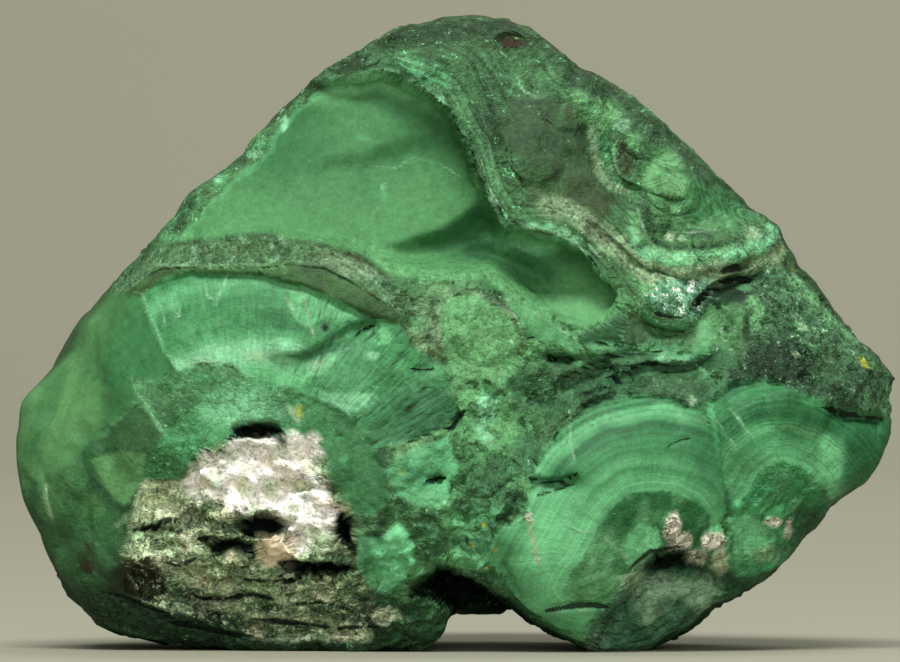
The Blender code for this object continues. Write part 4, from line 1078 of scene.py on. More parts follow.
class Paint:
    """Colour on the points of the stone, laid in layers, and the looks of each point."""

    def __init__(self, points, out, base):
        self.points = points
        self.out = out
        self.x, self.z = points[:, 0], points[:, 2]
        self.colour = np.tile(linear(base), (len(points), 1))
        self.fleck = np.tile(linear("weathered_dark"), (len(points), 1))
        self.looks = {name: np.zeros(len(points)) for name in LOOKS}
        self.wobble = 0.45 * noise(points, 1.7, 41) + 0.25 * noise(points, 0.7, 42)

    def lay(self, colour, share):
        self.colour += (linear(colour) - self.colour) * np.clip(share, 0, 1)[:, None]

    def spot(self, x, z, wide, high):
        """1 in the middle of an ellipse, falling softly to 0 at its edge."""
        return smooth(1, 0.35, np.hypot((self.x - x) / wide, (self.z - z) / high))

    def dabs(self, share, entries):
        """Soft ellipses of colour within a share, as (colour, x, z, half width, half height, strength)."""
        for colour, x, z, wide, high, strength in entries:
            self.lay(colour, share * self.spot(x, z, wide, high) * strength)

    def mottle(self, colour, size, seed, share, start=0.0, end=0.5):
        self.lay(colour, share * smooth(start, end, noise(self.points, size, seed)))

    def area(self, ring, colour, edge=0.35, strength=1.0):
        share = smooth(-edge, edge, inside(self.x, self.z, ring) + self.wobble * 0.6) * strength
        self.lay(colour, share)
        return share

    def ramp(self, stops, distance, share):
        """Colour that changes with the distance along a growth, through the stops."""
        at = [stop for stop, _ in stops]
        colours = np.array([linear(name) for _, name in stops])
        found = np.column_stack([np.interp(distance, at, colours[:, i]) for i in range(3)])
        self.colour += (found - self.colour) * np.clip(share, 0, 1)[:, None]

    def texture(self, share, fleck=None, **values):
        """The flecks' colour and the looks of a place."""
        share = np.clip(share, 0, 1)
        if fleck is not None:
            self.fleck += (linear(fleck) - self.fleck) * share[:, None]
        for name, value in values.items():
            self.looks[name] += (value - self.looks[name]) * share


def weathered(paint):
    """The old outer skin, which the whole stone has where it isn't broken."""
    whole = np.ones(len(paint.x))
    paint.mottle("weathered_light", 9, 51, whole * 0.7)
    paint.mottle("weathered_dark", 6, 52, whole * 0.8)
    paint.mottle("weathered_brown", 11, 53, whole * 0.6, 0.1, 0.6)
    paint.mottle("crust_bright", 2.4, 54, whole * 0.35, 0.3, 0.8)
    paint.mottle("weathered_dark", 1.5, 55, whole * 0.4, 0.2, 0.8)
    paint.texture(whole, "weathered_dark", flecked=0.3, crevice=0.3, grain=0.25, ringing=0.15, gloss=0.35)


def paint_left(paint, along):
    x, z = paint.x, paint.z
    flank = smooth(-37, -40, x) * smooth(6, 12, z)
    paint.lay("left_dark", flank * 0.75)
    paint.mottle("weathered_dark", 4, 61, flank * 0.5)
    paint.mottle("left_light", 3, 62, flank * 0.4, 0.2, 0.7)
    paint.lay("left_deep", flank * smooth(17, 14, z) * 0.7)
    paint.dabs(1, [
        ("left_light", -45.5, 20.5, 3.5, 6, 0.45),
        ("left_light", -39, 20.5, 3, 3.4, 0.6),
    ])
    paint.texture(flank, flecked=0.05, crevice=0.1, grain=0.12, ringing=0.1, fibrous=0.2, faceted=0.25,
                  gloss=0.5)

    dark = paint.area(LEFT_DARK, "left_dark", 0.4)
    streak = np.column_stack([x - z * 0.35, x * 0, z * 0.15])
    lit = dark * smooth(-38, -42, x - (z - 34) * 0.25)
    paint.lay("left_light", lit * (0.6 + 0.4 * noise(streak, 1.6, 63)))
    paint.lay("left_light", dark * smooth(5, 1, np.hypot(x + 42.5, (z - 28) * 0.8)) * 0.6)
    paint.dabs(dark, [("fan", -36, 34, 5, 5, 0.6)])
    paint.lay("bowl_dark", dark * smooth(-0.2, 0.6, noise(streak, 1.1, 64)) * 0.3)
    paint.texture(dark, flecked=0, crevice=0, grain=0.06, ringing=0.1, fibrous=0.35, faceted=0.1, gloss=0.6)

    band = paint.area(INNER_BAND, "fan", 0.25)
    paint.mottle("moss_dark", 2.6, 65, band * 0.35, 0, 0.6)
    paint.mottle("fan_light", 1.6, 66, band * 0.4, 0.3, 0.8)
    paint.lay("inner_band", band * smooth(13.4, 15.4, along) * smooth(-18, -21, x) * 0.9)
    paint.dabs(band, [
        ("fan_edge", -24.2, 28.6, 7, 3.4, 0.6),
        ("left_deep", -33, 28.6, 3.6, 4, 0.6),
        ("fan", -31, 32, 7, 2, 0.6),
        ("left_deep", -33, 22, 4, 2.4, 0.5),
    ])
    lower = band * smooth(-19, -14, x)
    paint.lay("left_deep", lower * 0.45)
    paint.texture(band, "rim_light", flecked=0.12, crevice=0.1, grain=0.5, ringing=0.1, fibrous=0.35,
                  faceted=0.3, gloss=0.4)
    paint.texture(lower, flecked=0.03, crevice=0.05, grain=0.2, fibrous=0.5)

    fan = paint.area(LEFT_FAN, "fan", 0.18)
    paint.ramp(LEFT_RINGS, along + 0.5 * noise(paint.points, 3, 67), fan)
    right = smooth(-19.5, -15.5, x + (38 - z) * 0.2) * fan
    paint.lay("fan", right * 0.85)
    paint.lay("fan_deep", fan * smooth(-12, -3, x) * smooth(35, 27, z) * 0.75)
    paint.mottle("fan_dark", 3.4, 69, fan * 0.3, 0.1, 0.7)
    paint.mottle("fan_light", 2.5, 70, fan * 0.3, 0.1, 0.7)
    paint.texture(fan, "fan_edge", flecked=0.04, crevice=0.08, grain=0.15, ringing=0.22, fibrous=0.75,
                  faceted=0.12, gloss=0.6)
    paint.texture(right, ringing=0.1, fibrous=1.2, faceted=0.3)
    paint.texture(fan * smooth(-13, -9, x) * smooth(34, 31, z), fibrous=2)

    rim = paint.area(RIM_BAND, "rim_grey", 0.25)
    off = near(x, z, RIM_STEP)[0]
    inner = rim * smooth(0.25, -0.25, -off + 0.4 * paint.wobble)
    paint.mottle("moss_dark", 1.3, 71, rim * 0.4, 0, 0.5)
    paint.mottle("rim_light", 1.0, 72, rim * 0.4, 0.35, 0.8)
    paint.texture(rim, "rim_light", flecked=0.1, crevice=0.15, grain=0.8, ringing=0.0, fibrous=0,
                  gloss=0.25)
    paint.dabs(rim, [("nodule_edge", -12.5, 45, 6, 2.4, 0.45)])
    paint.lay("rim_olive", inner)
    paint.dabs(inner, [("left_light", -25, 44.4, 7, 1.4, 0.45)])
    paint.mottle("olive", 3, 73, inner * 0.6)
    paint.texture(inner, "crust_bright", flecked=0.08, crevice=0.12, grain=0.25, gloss=0.5)


def paint_bowl(paint):
    x, z = paint.x, paint.z
    inwards = inside(x, z, BOWL_EDGE)
    bowl = smooth(0, 0.7, inwards)
    paint.lay("bowl", bowl)
    # Painted light: lighter lobes where the bowl's floor turns up
    light = smooth(5, 2, np.hypot((x + 12) / 1.5, z - 61)) + smooth(9, 3, np.hypot((x + 5) / 1.3, z - 52))
    light = light + smooth(12, 5, np.hypot((x + 20) / 1.8, z - 48.5))
    paint.lay("bowl_light", bowl * np.clip(light, 0, 1) * 0.9)
    # Painted shade: darker in the upper left, where the floor turns down under the rim, and in the crease
    # below the first ridge
    dark = 0.55 * smooth(12, 5, np.hypot((x + 16) / 1.4, z - 60))
    dark += 0.6 * smooth(6, 2, np.hypot(x / 1.8, z - 59))
    paint.lay("bowl_dark", bowl * np.clip(dark, 0, 1))
    # Painted light on the upper lobe
    paint.dabs(bowl, [("bowl_light", -10.5, 61, 5.5, 3.4, 0.45)])
    # Painted light along the bowl's top edge, under the rim
    paint.lay("nodule", bowl * smooth(4, 0.6, inwards) * smooth(60, 64, z) * 0.95)
    paint.lay("fan_edge", bowl * smooth(3, 0.5, inwards) * smooth(62, 65, z) * 0.45)
    # Painted shade below the second ridge
    hollow_shade = smooth(-0.5, 0.9, inside(x, z, BOWL_HOLLOW) + paint.wobble * 0.3)
    paint.lay("bowl_dark", bowl * hollow_shade * smooth(5.5, 3, x) * 0.95)
    # Painted light in the strip under the lip, and painted shade below the second ridge
    paint.dabs(bowl, [
        ("bowl", 6, 43.8, 6, 2.4, 0.7),
        ("facet", 8.5, 47.6, 6, 2.6, 1),
        ("fan_edge", 8.5, 47.8, 5.5, 2.4, 0.75),
        ("hollow_shade", 1, 47.2, 3.6, 1.6, 0.6),
    ])
    # Painted light where the floor turns up at the low right end
    paint.lay("nodule", bowl * smooth(7, 2, np.hypot(x - 14.5, z - 41)) * 0.7)
    paint.mottle("bowl_light", 6, 74, bowl * 0.3)
    low = smooth(4.5, 0.5, inwards) * smooth(50, 44, z) * bowl * smooth(12, 8, x)
    paint.lay("nodule", low * 0.5)
    paint.texture(bowl, flecked=0, crevice=0, grain=0.2, ringing=0.0, fibrous=0, faceted=0, gloss=0.3)
    paint.texture(low, grain=0.6)


def paint_crust(paint):
    x, z = paint.x, paint.z
    flat = np.column_stack([x, x * 0, z])
    crust = paint.area(CRUST, "crust_green", 0.3)
    paint.mottle("crust_dark", 4.5, 75, crust * 0.7, -0.2, 0.4)
    paint.mottle("weathered_brown", 6, 76, crust * 0.45, 0, 0.5)
    paint.mottle("crust_bright", 2.2, 77, crust * 0.5, 0.2, 0.7)
    paint.mottle("crust_dark", 1.3, 78, crust * 0.3, 0.1, 0.6)
    paint.lay("crust_dark", crust * smooth(0.86, 0.95, paint.out) * 0.8)
    paint.dabs(crust, [("crust_dark", 8, 66.5, 8, 4, 0.95)])
    paint.lay("crust_dark", crust * smooth(66, 69, z) * smooth(-2, -6, x) * 0.6)
    paint.dabs(crust, [("crust_bright", 18, 61.6, 4, 3, 0.85)])
    paint.texture(crust, "crust_bright", flecked=0.22, crevice=0.35, grain=0.35, ringing=0.4, fibrous=0,
                  faceted=0.5, gloss=0.4)

    off = near(x, z, STRIP_EDGE)[0]
    layered = crust * smooth(6, 4, off) * smooth(47, 50, z) * smooth(71, 68, z)
    streak = np.column_stack([off * 2.6, x * 0, (z + x) * 0.22])
    paint.lay("layer_dark", layered * 0.95)
    paint.lay("layer_light", layered * smooth(0, 0.4, noise(streak, 1.5, 79)) * smooth(4.5, 0.5, off) * 0.4)
    paint.lay("layer_light", layered * smooth(1.6, 0.6, off) * 0.5)
    paint.dabs(layered, [("layer_dark", 3.4, 60, 3.4, 5, 0.7)])
    paint.texture(layered, "fan_bright", flecked=0.14, crevice=0.3, grain=0.35, ringing=1.1, fibrous=0.3,
                  faceted=0.4)
    fresh = smooth(-0.3, 0.3, inside(x, z, FRESH_CHIP))
    paint.lay("fan_soft", fresh * 0.9)
    paint.mottle("weathered_brown", 1.2, 81, fresh * 0.35)

    paint.dabs(crust, [("fan_bright", 28, 46.4, 5, 1.3, 0.85)])
    clear = smooth(4.4, 3, np.hypot((x - 30.5) / 1.2, z - 52.5))
    paint.lay("bowl", clear * crust * 0.9)
    pale = smooth(5, 3, np.hypot((x - 24) * 1.6, z - 54.5))
    paint.lay("crust_bright", pale * crust * 0.55)
    ring = np.abs(np.hypot(x - 25, z - 54) - 1.9)
    paint.lay("crust_clear", smooth(0.5, 0.1, ring) * crust * 0.7)
    paint.texture(np.maximum(clear, pale) * crust, flecked=0.05, crevice=0.08, grain=0.2, gloss=0.55)

    drift = noise(np.column_stack([(x + z) * 0.4, x * 0, z - x]), 2.4, 108)
    olive = smooth(-1.2, 0.8, inside(x, z, OLIVE) + 0.9 * drift) * crust
    paint.lay("olive", olive * 0.9)
    paint.lay("olive_brown", olive * smooth(58, 52, z) * 0.8)
    paint.lay("crust_dark", olive * smooth(0.1, 0.6, drift) * 0.4)
    paint.lay("crust_clear", olive * smooth(0.1, 0.6, -drift) * 0.35)
    paint.texture(olive, flecked=0.05, crevice=0.1, grain=0.25, ringing=0.3, gloss=0.4)

    below = near(x, z, LOBE_CURVE)[0]
    lobes = crust * smooth(-1.5, 0, below) * smooth(5.2, 4.2, below) * smooth(19, 21, x) * smooth(52, 49, z)
    paint.ramp(LOBE_RINGS, below + 0.3 * noise(flat, 2, 109), lobes * 0.85)
    off = np.abs(near(x, z, TAN_BAND)[0])
    tan = smooth(1.7, 0.8, off + paint.wobble) * crust
    paint.lay("tan_band", tan * (0.6 + 0.3 * smooth(14, 18, x)))
    paint.mottle("weathered_brown", 1.4, 82, tan * 0.5)
    paint.texture(tan, "rim_light", flecked=0.15, crevice=0.15, grain=0.8, gloss=0.3)
    side = inside(x, z, OUTLINE) + 1.2 * paint.wobble
    paint.lay("crust_dark", crust * smooth(2.6, 1.2, side) * smooth(10, 14, x) * smooth(50, 55, z) * 0.7)
    paint.dabs(crust, [("crust_bright", 16.8, 62.2, 3, 2.6, 0.6)])
    strip = smooth(1.9, 1.1, side) * smooth(-13, -16, x) * smooth(46, 49, z)
    paint.lay("crust_green", strip * 0.9)
    paint.mottle("crust_dark", 1.2, 117, strip * 0.7, 0, 0.5)
    paint.mottle("fan_light", 0.9, 118, strip * 0.8, 0.15, 0.5)
    streak = smooth(0.5, 0.1, np.abs(side - 1.7)) * smooth(-13, -16, x) * smooth(46, 49, z)
    paint.lay("fan_light", streak * 0.45)
    paint.texture(strip, "fan_edge", flecked=0.2, crevice=0.3, grain=0.5)
    sugary = paint.area(SUGARY, "sugary", 0.3)
    paint.mottle("rim_light", 1.1, 110, sugary * 0.5, 0.1, 0.5)
    paint.mottle("moss_dark", 1.6, 120, sugary * 0.5, 0.1, 0.5)
    paint.texture(sugary, "white", flecked=0.3, crevice=0.2, grain=1, ringing=0, faceted=0.5, gloss=0.4)
    contour = np.hypot(x - 8.3, z - 68.5)
    arcs = smooth(5.6, 4.8, contour) * smooth(2.2, 2.8, contour) * smooth(67.5, 66, z) * crust
    paint.ramp(ARC_RINGS, contour, arcs * 0.35)


def paint_middle(paint):
    x, z = paint.x, paint.z
    middle = smooth(-9, -6, x) * smooth(33, 30, x) * smooth(46, 40, z)
    paint.lay("moss", middle)
    paint.mottle("moss_dark", 3.5, 83, middle * 0.7, -0.1, 0.5)
    paint.mottle("moss_grey", 5, 84, middle * 0.6 * smooth(20, 26, z), 0.1, 0.6)
    paint.dabs(middle, [
        ("moss_dark", 7, 20.5, 5, 6, 0.35),
        ("fan_light", 1.5, 15.6, 4, 3, 0.45),
        ("fan_ring", 2.2, 12.2, 3.6, 2.6, 0.8),
    ])
    paint.mottle("fan_light", 1.6, 85, middle * 0.35, 0.3, 0.8)
    # The fan_light dab on the ledge at 22.5, 34.8 is painted light on its upturned top
    paint.dabs(middle, [
        ("moss_grey", -3, 36.5, 3.6, 4, 0.95),
        ("fan_light", 22.5, 34.8, 6.5, 1.4, 0.8),
        ("facet", 24, 36.8, 3, 1.2, 0.4),
    ])
    # Painted shade below the ledges
    dark = smooth(7, 3, np.hypot((x - 22) / 2.4, z - 31.4)) + smooth(5, 2, np.hypot(x - 9, z - 30))
    paint.lay("moss_dark", np.clip(dark, 0, 1) * middle * 0.65)
    paint.texture(middle, "rim_light", flecked=0.1, crevice=0.2, grain=0.45, ringing=0.0, fibrous=0,
                  faceted=1, gloss=0.4)
    # Painted shade in the hole by the ledges
    paint.dabs(1, [("hollow_shade", 11.6, 34.2, 2.6, 1.5, 0.9)])
    step = paint.area(MIDDLE_STEP, "nodule", 0.4, 0.4)
    paint.texture(step, grain=0.4, crevice=0.15)

    edge = np.abs(inside(x, z, NODULE))
    nodule = paint.area(NODULE, "nodule", 0.3)
    paint.mottle("moss_dark", 1.3, 86, nodule * 0.3)
    paint.lay("nodule_edge", smooth(0.55, 0.2, edge) * smooth(34, 36, z) * middle * 0.7)
    paint.mottle("nodule_edge", 2.4, 119, nodule * 0.3 * smooth(37, 34, z), 0, 0.6)
    paint.lay("moss", nodule * 0.55)
    paint.texture(nodule, "rim_light", flecked=0.1, crevice=0.1, grain=0.55, faceted=0.1, gloss=0.4)

    for ring, colour in ((PATCH, "patch"), (SLAB, "slab")):
        share = paint.area(ring, colour, 0.3)
        paint.mottle("fan_dark", 1.8, 87, share * 0.25, 0.2, 0.7)
        paint.texture(share, "fan_edge", flecked=0.06, crevice=0.12, grain=0.2, faceted=0.35, gloss=0.5)
    streak = np.column_stack([x, x * 0, z * 0.2])
    slab = smooth(0, 0.6, inside(x, z, SLAB))
    paint.lay("fan_dark", slab * smooth(0, 0.5, noise(streak, 0.9, 111)) * 0.5)


def paint_facets(paint):
    """Smooth broken faces among the rough ones, with crisp edges, in tones that are partly painted light
    and shade.
    """
    for ring, colour, strength in FACETS:
        share = smooth(-0.12, 0.14, inside(paint.x, paint.z, ring) + paint.wobble * 0.25) * strength
        paint.lay(colour, share)
        paint.texture(share, flecked=0.03, crevice=0.04, grain=0.2, faceted=0.15, gloss=0.5)


def paint_right(paint, along):
    x, z = paint.x, paint.z
    druse = paint.area(DRUSE, "druse", 0.5)
    paint.mottle("druse_dark", 4, 88, druse * 0.6, -0.1, 0.5)
    paint.dabs(druse, [
        ("druse_dark", 36.5, 33.4, 7, 4.6, 0.95),
        ("druse_dark", 44, 32, 5, 3, 0.5),
    ])
    paint.mottle("nodule", 2.6, 89, druse * 0.7 * smooth(33, 38, z + (x - 38) * 0.5), 0.2, 0.6)
    paint.texture(druse, "rim_light", flecked=0.14, crevice=0.3, grain=1.0, ringing=0.0, fibrous=0,
                  faceted=0.5, gloss=0.4)

    wavy = 0.35 * noise(paint.points, 2.4, 90)
    fan = paint.area(RIGHT_FAN, "fan", 0.2)
    paint.ramp(RIGHT_RINGS, along + wavy, fan)
    paint.lay("fan_dark", fan * smooth(3, 5, along) * smooth(8, 7, along) * 0.25)
    paint.lay("fan_dark", fan * smooth(24, 28, x) * smooth(18, 20, z) * 0.4)
    # Painted light: the fan is laid lighter towards its lower left
    paint.lay("fan_light", fan * smooth(11, 3, np.hypot(x - 9, (z - 9) * 0.8)) * 0.85)
    paint.lay("fan_bright", fan * smooth(9, 2, np.hypot((x - 10) * 0.9, (z - 11) * 0.8)) * 0.9)
    paint.lay("fan_light", fan * smooth(10, 7, x) * smooth(16, 13, z) * 0.7)
    paint.mottle("fan_dark", 4, 91, fan * 0.25, 0.1, 0.6)
    paint.texture(fan, flecked=0, crevice=0.04, grain=0.1, ringing=0.45, fibrous=0.5, faceted=0.05,
                  gloss=0.6)
    paint.texture(fan * smooth(6, 8, along), ringing=0.8)

    second = paint.area(SECOND_FAN, "fan", 0.4)
    paint.ramp(SECOND_RINGS, along - SECOND_START + wavy, second)
    paint.mottle("fan_dark", 3, 92, second * 0.35, 0, 0.6)
    paint.lay("fan_dark", second * smooth(43.5, 45.5, x) * 0.9)
    paint.dabs(second, [("fan_bright", 42.6, 22.9, 2.6, 3.6, 0.3)])
    paint.texture(second, flecked=0, crevice=0.08, grain=0.12, ringing=0.6, fibrous=0.5, faceted=0.1,
                  gloss=0.55)

    core = paint.area(CORE, "core", 0.12)
    paint.ramp(CORE_RINGS, -along, core)
    paint.lay("core_light", core * smooth(16, 13, z) * smooth(20, 17, x) * 0.8)
    paint.dabs(core, [("fan_bright", 21.3, 13.2, 3, 1.9, 0.6)])
    paint.mottle("core_light", 1.6, 93, core * 0.35, 0.1, 0.7)
    paint.mottle("core", 1.2, 112, core * 0.4, 0.1, 0.6)
    paint.texture(core, "fan_bright", flecked=0.03, crevice=0.12, grain=0.25, ringing=0.5, fibrous=0.5,
                  faceted=0.15, gloss=0.45)
    core = paint.area(SECOND_CORE, "second_core", 0.2)
    paint.dabs(core, [("core", 37.6, 19.4, 5.6, 4.4, 0.4)])
    paint.mottle("core_light", 2.2, 94, core * 0.3, 0.1, 0.6)
    paint.dabs(core, [("fan_light", 33.2, 13.4, 5, 4.4, 0.95)])
    paint.lay("weathered_dark", core * smooth(36, 40, x) * smooth(19, 16, z) * 0.9)
    paint.mottle("under", 2.2, 95, core * smooth(15, 11, z) * 0.5, 0, 0.5)
    paint.texture(core, "fan_bright", flecked=0.08, crevice=0.3, grain=0.4, ringing=0.4, fibrous=0.1,
                  faceted=0.3, gloss=0.4)

    under = paint.area(UNDERCUT_EDGE, "under", 0.3)
    paint.mottle("under_light", 3.5, 96, under * 0.6, 0, 0.6)
    paint.dabs(under, [("under_light", 23, 8.2, 5, 2, 0.8)])
    paint.mottle("moss_dark", 1.8, 97, under * 0.6, 0, 0.6)
    paint.dabs(under, [("moss_dark", 32, 7.6, 4.6, 3, 0.7)])
    paint.texture(under, "crust_bright", flecked=0.08, crevice=0.3, grain=0.4, ringing=0.0, fibrous=0,
                  faceted=0.5, gloss=0.3)


def paint_matrix(paint):
    x, z = paint.x, paint.z
    low = paint.area(MATRIX_EDGE, "low_matrix", 0.5)
    skirt = smooth(9, 5, z) * smooth(-46, -40, x) * smooth(-2, -5, x)
    paint.lay("low_green", skirt * 0.75)
    layers = np.column_stack([x * 0.4, x * 0, z * 1.3])
    paint.lay("low_light", low * smooth(0, 0.45, noise(layers, 1.5, 98)) * 0.9)
    paint.lay("moss_dark", low * smooth(0.15, 0.5, noise(layers, 1.2, 99)) * 0.5)
    paint.lay("brown", low * smooth(0.25, 0.6, noise(layers, 1.0, 113)) * 0.4)
    paint.mottle("tan", 2.4, 100, low * 0.35, 0.2, 0.7)
    paint.mottle("sugary", 2.8, 114, low * 0.35, 0.2, 0.7)
    paint.texture(skirt, "crust_bright", flecked=0.15, crevice=0.7, grain=0.5, ringing=0.0, fibrous=0,
                  gloss=0.3)
    paint.texture(low, "low_light", flecked=0.35, crevice=0.5, grain=1.0, ringing=0.0, fibrous=0,
                  faceted=0.7, gloss=0.1)
    brown = smooth(3.6, 1.5, np.hypot((x + 36.5) / 1.1, z - 9.2) + paint.wobble * 1.5)
    paint.lay("brown", brown * 0.9)
    paint.mottle("rust", 1.5, 101, brown * 0.6, 0.1, 0.6)

    grey = paint.area(GREY_MATRIX, "grey_matrix", 0.5)
    paint.mottle("low_matrix", 1.3, 102, grey * 0.45, 0, 0.5)
    paint.mottle("olive", 0.9, 115, grey * 0.5, 0.2, 0.6)
    paint.texture(grey, "low_light", flecked=0.35, crevice=0.35)
    white = smooth(-0.5, 0.5, inside(x, z, WHITE) + paint.wobble * 1.8)
    paint.lay("white", white)
    paint.mottle("low_light", 1.6, 103, white * 0.6, 0.15, 0.6)
    paint.mottle("nodule", 1.9, 104, white * 0.5, 0.35, 0.7)
    paint.mottle("tan", 2.2, 116, white * 0.45, 0.2, 0.7)
    paint.texture(white, "moss", flecked=0.22, crevice=0.16, grain=0.55, faceted=0.12, gloss=0.05)
    blob = smooth(2.4, 2.1, np.hypot(x - TAN_BLOB[0], (z - 12.5) * 1.1) + paint.wobble * 0.15)
    paint.lay("tan", blob)
    paint.texture(blob, "low_matrix", flecked=0.1, crevice=0.05, grain=0.25, faceted=0)
    paint.dabs(low, [
        ("low_light", -12, 5.4, 3.4, 2.4, 0.2),
        ("low_light", -18, 7.6, 5.5, 1.6, 0.4),
    ])
    paint.dabs(white, [("low_matrix", -15, 13.2, 3, 2.6, 0.6)])
    paint.dabs(1, [("low_green", -30.5, 3.6, 7, 2.6, 0.85)])


def paint_details(paint):
    x, z = paint.x, paint.z
    for line, colour, half, strength in STROKES:
        off, progress = near(x, z, line)
        patchy = 0.55 + 0.45 * np.clip(noise(paint.points, 1.1, 105) + 0.5, 0, 1)
        taper = smooth(0, 0.1, progress) * smooth(1, 0.9, progress)
        drawn = smooth(half * 1.3, half * 0.5, np.abs(off + paint.wobble * 0.3))
        paint.lay(colour, drawn * taper * strength * patchy)
    for px, pz, wide, high, colour, strength in SPOTS:
        reach = np.hypot((x - px) / wide, (z - pz) / high) + paint.wobble * 0.9
        share = smooth(1.2, 0.8, reach) * strength
        paint.lay(colour, share)
        if colour == "pink":
            paint.texture(share, "brown", flecked=0.25, crevice=0.8, grain=0.5, ringing=0, fibrous=0,
                          gloss=0.1)
    # Painted shade: the matrix holes, the gap between the lobes and the undercut under the slab are laid
    # near black
    for px, pz, wide, high, _ in HOLES[:MATRIX_HOLES]:
        reach = np.hypot((x - px) / wide, (z - pz) / high)
        share = smooth(1.1, 0.9, reach + paint.wobble * 0.2)
        paint.lay("dark", share)
        paint.texture(share, flecked=0, crevice=0, grain=0.1, faceted=0.1)
    paint.lay("dark", smooth(0.3, 1.4, inside(x, z, GAP_EDGE)) * 0.95)
    paint.lay("dark", smooth(-0.2, 0.8, inside(x, z, UNDERCUT_SHADE)) * 0.9)


def lines_near(points, lines):
    """Squared distance from the nearest of the lines, and that line's half width there."""
    x, z = points[:, 0], points[:, 2]
    best = np.ones(len(points))
    width = np.zeros(len(points))
    for line, half in lines:
        off, progress = near(x, z, line)
        closer = off * off < best
        best = np.where(closer, off * off, best)
        taper = smooth(0, 0.2, progress) * smooth(1, 0.8, progress)
        width = np.where(closer, half * (0.45 + 0.55 * taper), width)
    uneven = 1 + 0.8 * noise(points, 1.9, 43)
    return best, width * uneven * smooth(0.9, 0.6, best)


def painted(points, front, along, out):
    """The paint on every point of the stone."""
    whole = Paint(points, out, "weathered")
    weathered(whole)
    for number, (px, pz, radius, _) in enumerate(SCARS):
        reach = np.hypot(points[:, 0] - px, (points[:, 2] - pz) * 1.2) / radius
        reach = reach + 0.25 * noise(points, 8, 121 + number)
        broken = np.where(front, 0, smooth(0.95, 0.75, reach + whole.wobble * 0.1))
        whole.ramp(RIGHT_RINGS, reach * radius * 0.6 + number * 2, broken * 0.8)
        whole.texture(broken, flecked=0.0, crevice=0.1, grain=0.15, ringing=0.6, fibrous=0.5, gloss=0.5)
    face = Paint(points[front], out[front], "weathered")
    weathered(face)
    rim = face.colour.copy()
    paint_middle(face)
    paint_left(face, along[front])
    paint_bowl(face)
    paint_crust(face)
    paint_right(face, along[front])
    paint_facets(face)
    paint_matrix(face)
    paint_details(face)
    edge = smooth(0.985, 0.999, out[front])
    face.colour += (rim - face.colour) * edge[:, None]
    whole.colour[front], whole.fleck[front] = face.colour, face.fleck
    for name in LOOKS:
        whole.looks[name][front] = face.looks[name]
    return whole


class Nodes:
    """Short calls for adding shader nodes to a material."""

    def __init__(self, name):
        self.material = bpy.data.materials.new(name)
        self.material.use_nodes = True
        self.tree = self.material.node_tree
        self.shader = self.tree.nodes["Principled BSDF"]

    def add(self, kind, links=(), **settings):
        node = self.tree.nodes.new(kind)
        for key, value in settings.items():
            if key in node.inputs:
                node.inputs[key].default_value = value
            else:
                setattr(node, key, value)
        for socket, source in dict(links).items():
            self.tree.links.new(source, node.inputs[socket])
        return node

    def attribute(self, name):
        return self.add("ShaderNodeAttribute", attribute_name=name)

    def math(self, operation, *values):
        node = self.tree.nodes.new("ShaderNodeMath")
        node.operation = operation
        for socket, value in zip(node.inputs, values):
            if isinstance(value, (int, float)):
                socket.default_value = value
            else:
                self.tree.links.new(value, socket)
        return node.outputs[0]

    def plus(self, first, second):
        return self.math("ADD", first, second)

    def minus(self, first, second):
        return self.math("SUBTRACT", first, second)

    def times(self, first, second):
        return self.math("MULTIPLY", first, second)

    def vector(self, operation, first, second):
        """A sum of two vectors, of which the second is a socket or three numbers."""
        node = self.add("ShaderNodeVectorMath", {0: first}, operation=operation)
        if isinstance(second, tuple):
            node.inputs[1].default_value = second
        else:
            self.tree.links.new(second, node.inputs[1])
        return node.outputs["Value" if operation == "DOT_PRODUCT" else "Vector"]

    def mixed(self, share, first, second):
        """One colour laid over another, of which the second is a socket or a colour's name."""
        node = self.add("ShaderNodeMix", {0: share, 6: first}, data_type="RGBA")
        if isinstance(second, str):
            node.inputs[7].default_value = (*linear(second), 1)
        else:
            self.tree.links.new(second, node.inputs[7])
        return node.outputs[2]

    def stretch(self, value, low, high, to_low, to_high):
        node = self.add("ShaderNodeMapRange", {0: value})
        for socket, number in zip(list(node.inputs)[1:5], (low, high, to_low, to_high)):
            socket.default_value = number
        return node.outputs[0]

    def noise(self, vector, scale, detail=2.0, rough=0.5):
        node = self.add("ShaderNodeTexNoise", {"Vector": vector})
        node.inputs["Scale"].default_value = scale
        node.inputs["Detail"].default_value = detail
        node.inputs["Roughness"].default_value = rough
        return node.outputs[0]

    def chips(self, vector, scale):
        """Flat chips that lean their own ways: the height over each, in metres, and its tone."""
        cells = self.add("ShaderNodeTexVoronoi", {"Vector": vector})
        cells.inputs["Scale"].default_value = scale
        offset = self.vector("SUBTRACT", vector, cells.outputs["Position"])
        lean = self.vector("SUBTRACT", cells.outputs["Color"], (0.5, 0.5, 0.5))
        tone = self.add("ShaderNodeSeparateColor", {0: cells.outputs["Color"]}).outputs[1]
        return self.vector("DOT_PRODUCT", offset, lean), tone

    def line_noise(self, value, scale, detail=1.0):
        node = self.add("ShaderNodeTexNoise", noise_dimensions="1D")
        self.tree.links.new(value, node.inputs["W"])
        node.inputs["Scale"].default_value = scale
        node.inputs["Detail"].default_value = detail
        return node.outputs[0]


# How fine the stone's patterns are, in cells to the metre
WANDER_CELLS = 350
SPECK_CELLS = 3300
GRAIN_CELLS = 1900
CLUMP_CELLS = 800
BEND_CELLS = 500
LARGE_CHIP_CELLS = 330
SMALL_CHIP_CELLS = 900
FOLD_CELLS = 560
PIT_CELLS = 1150

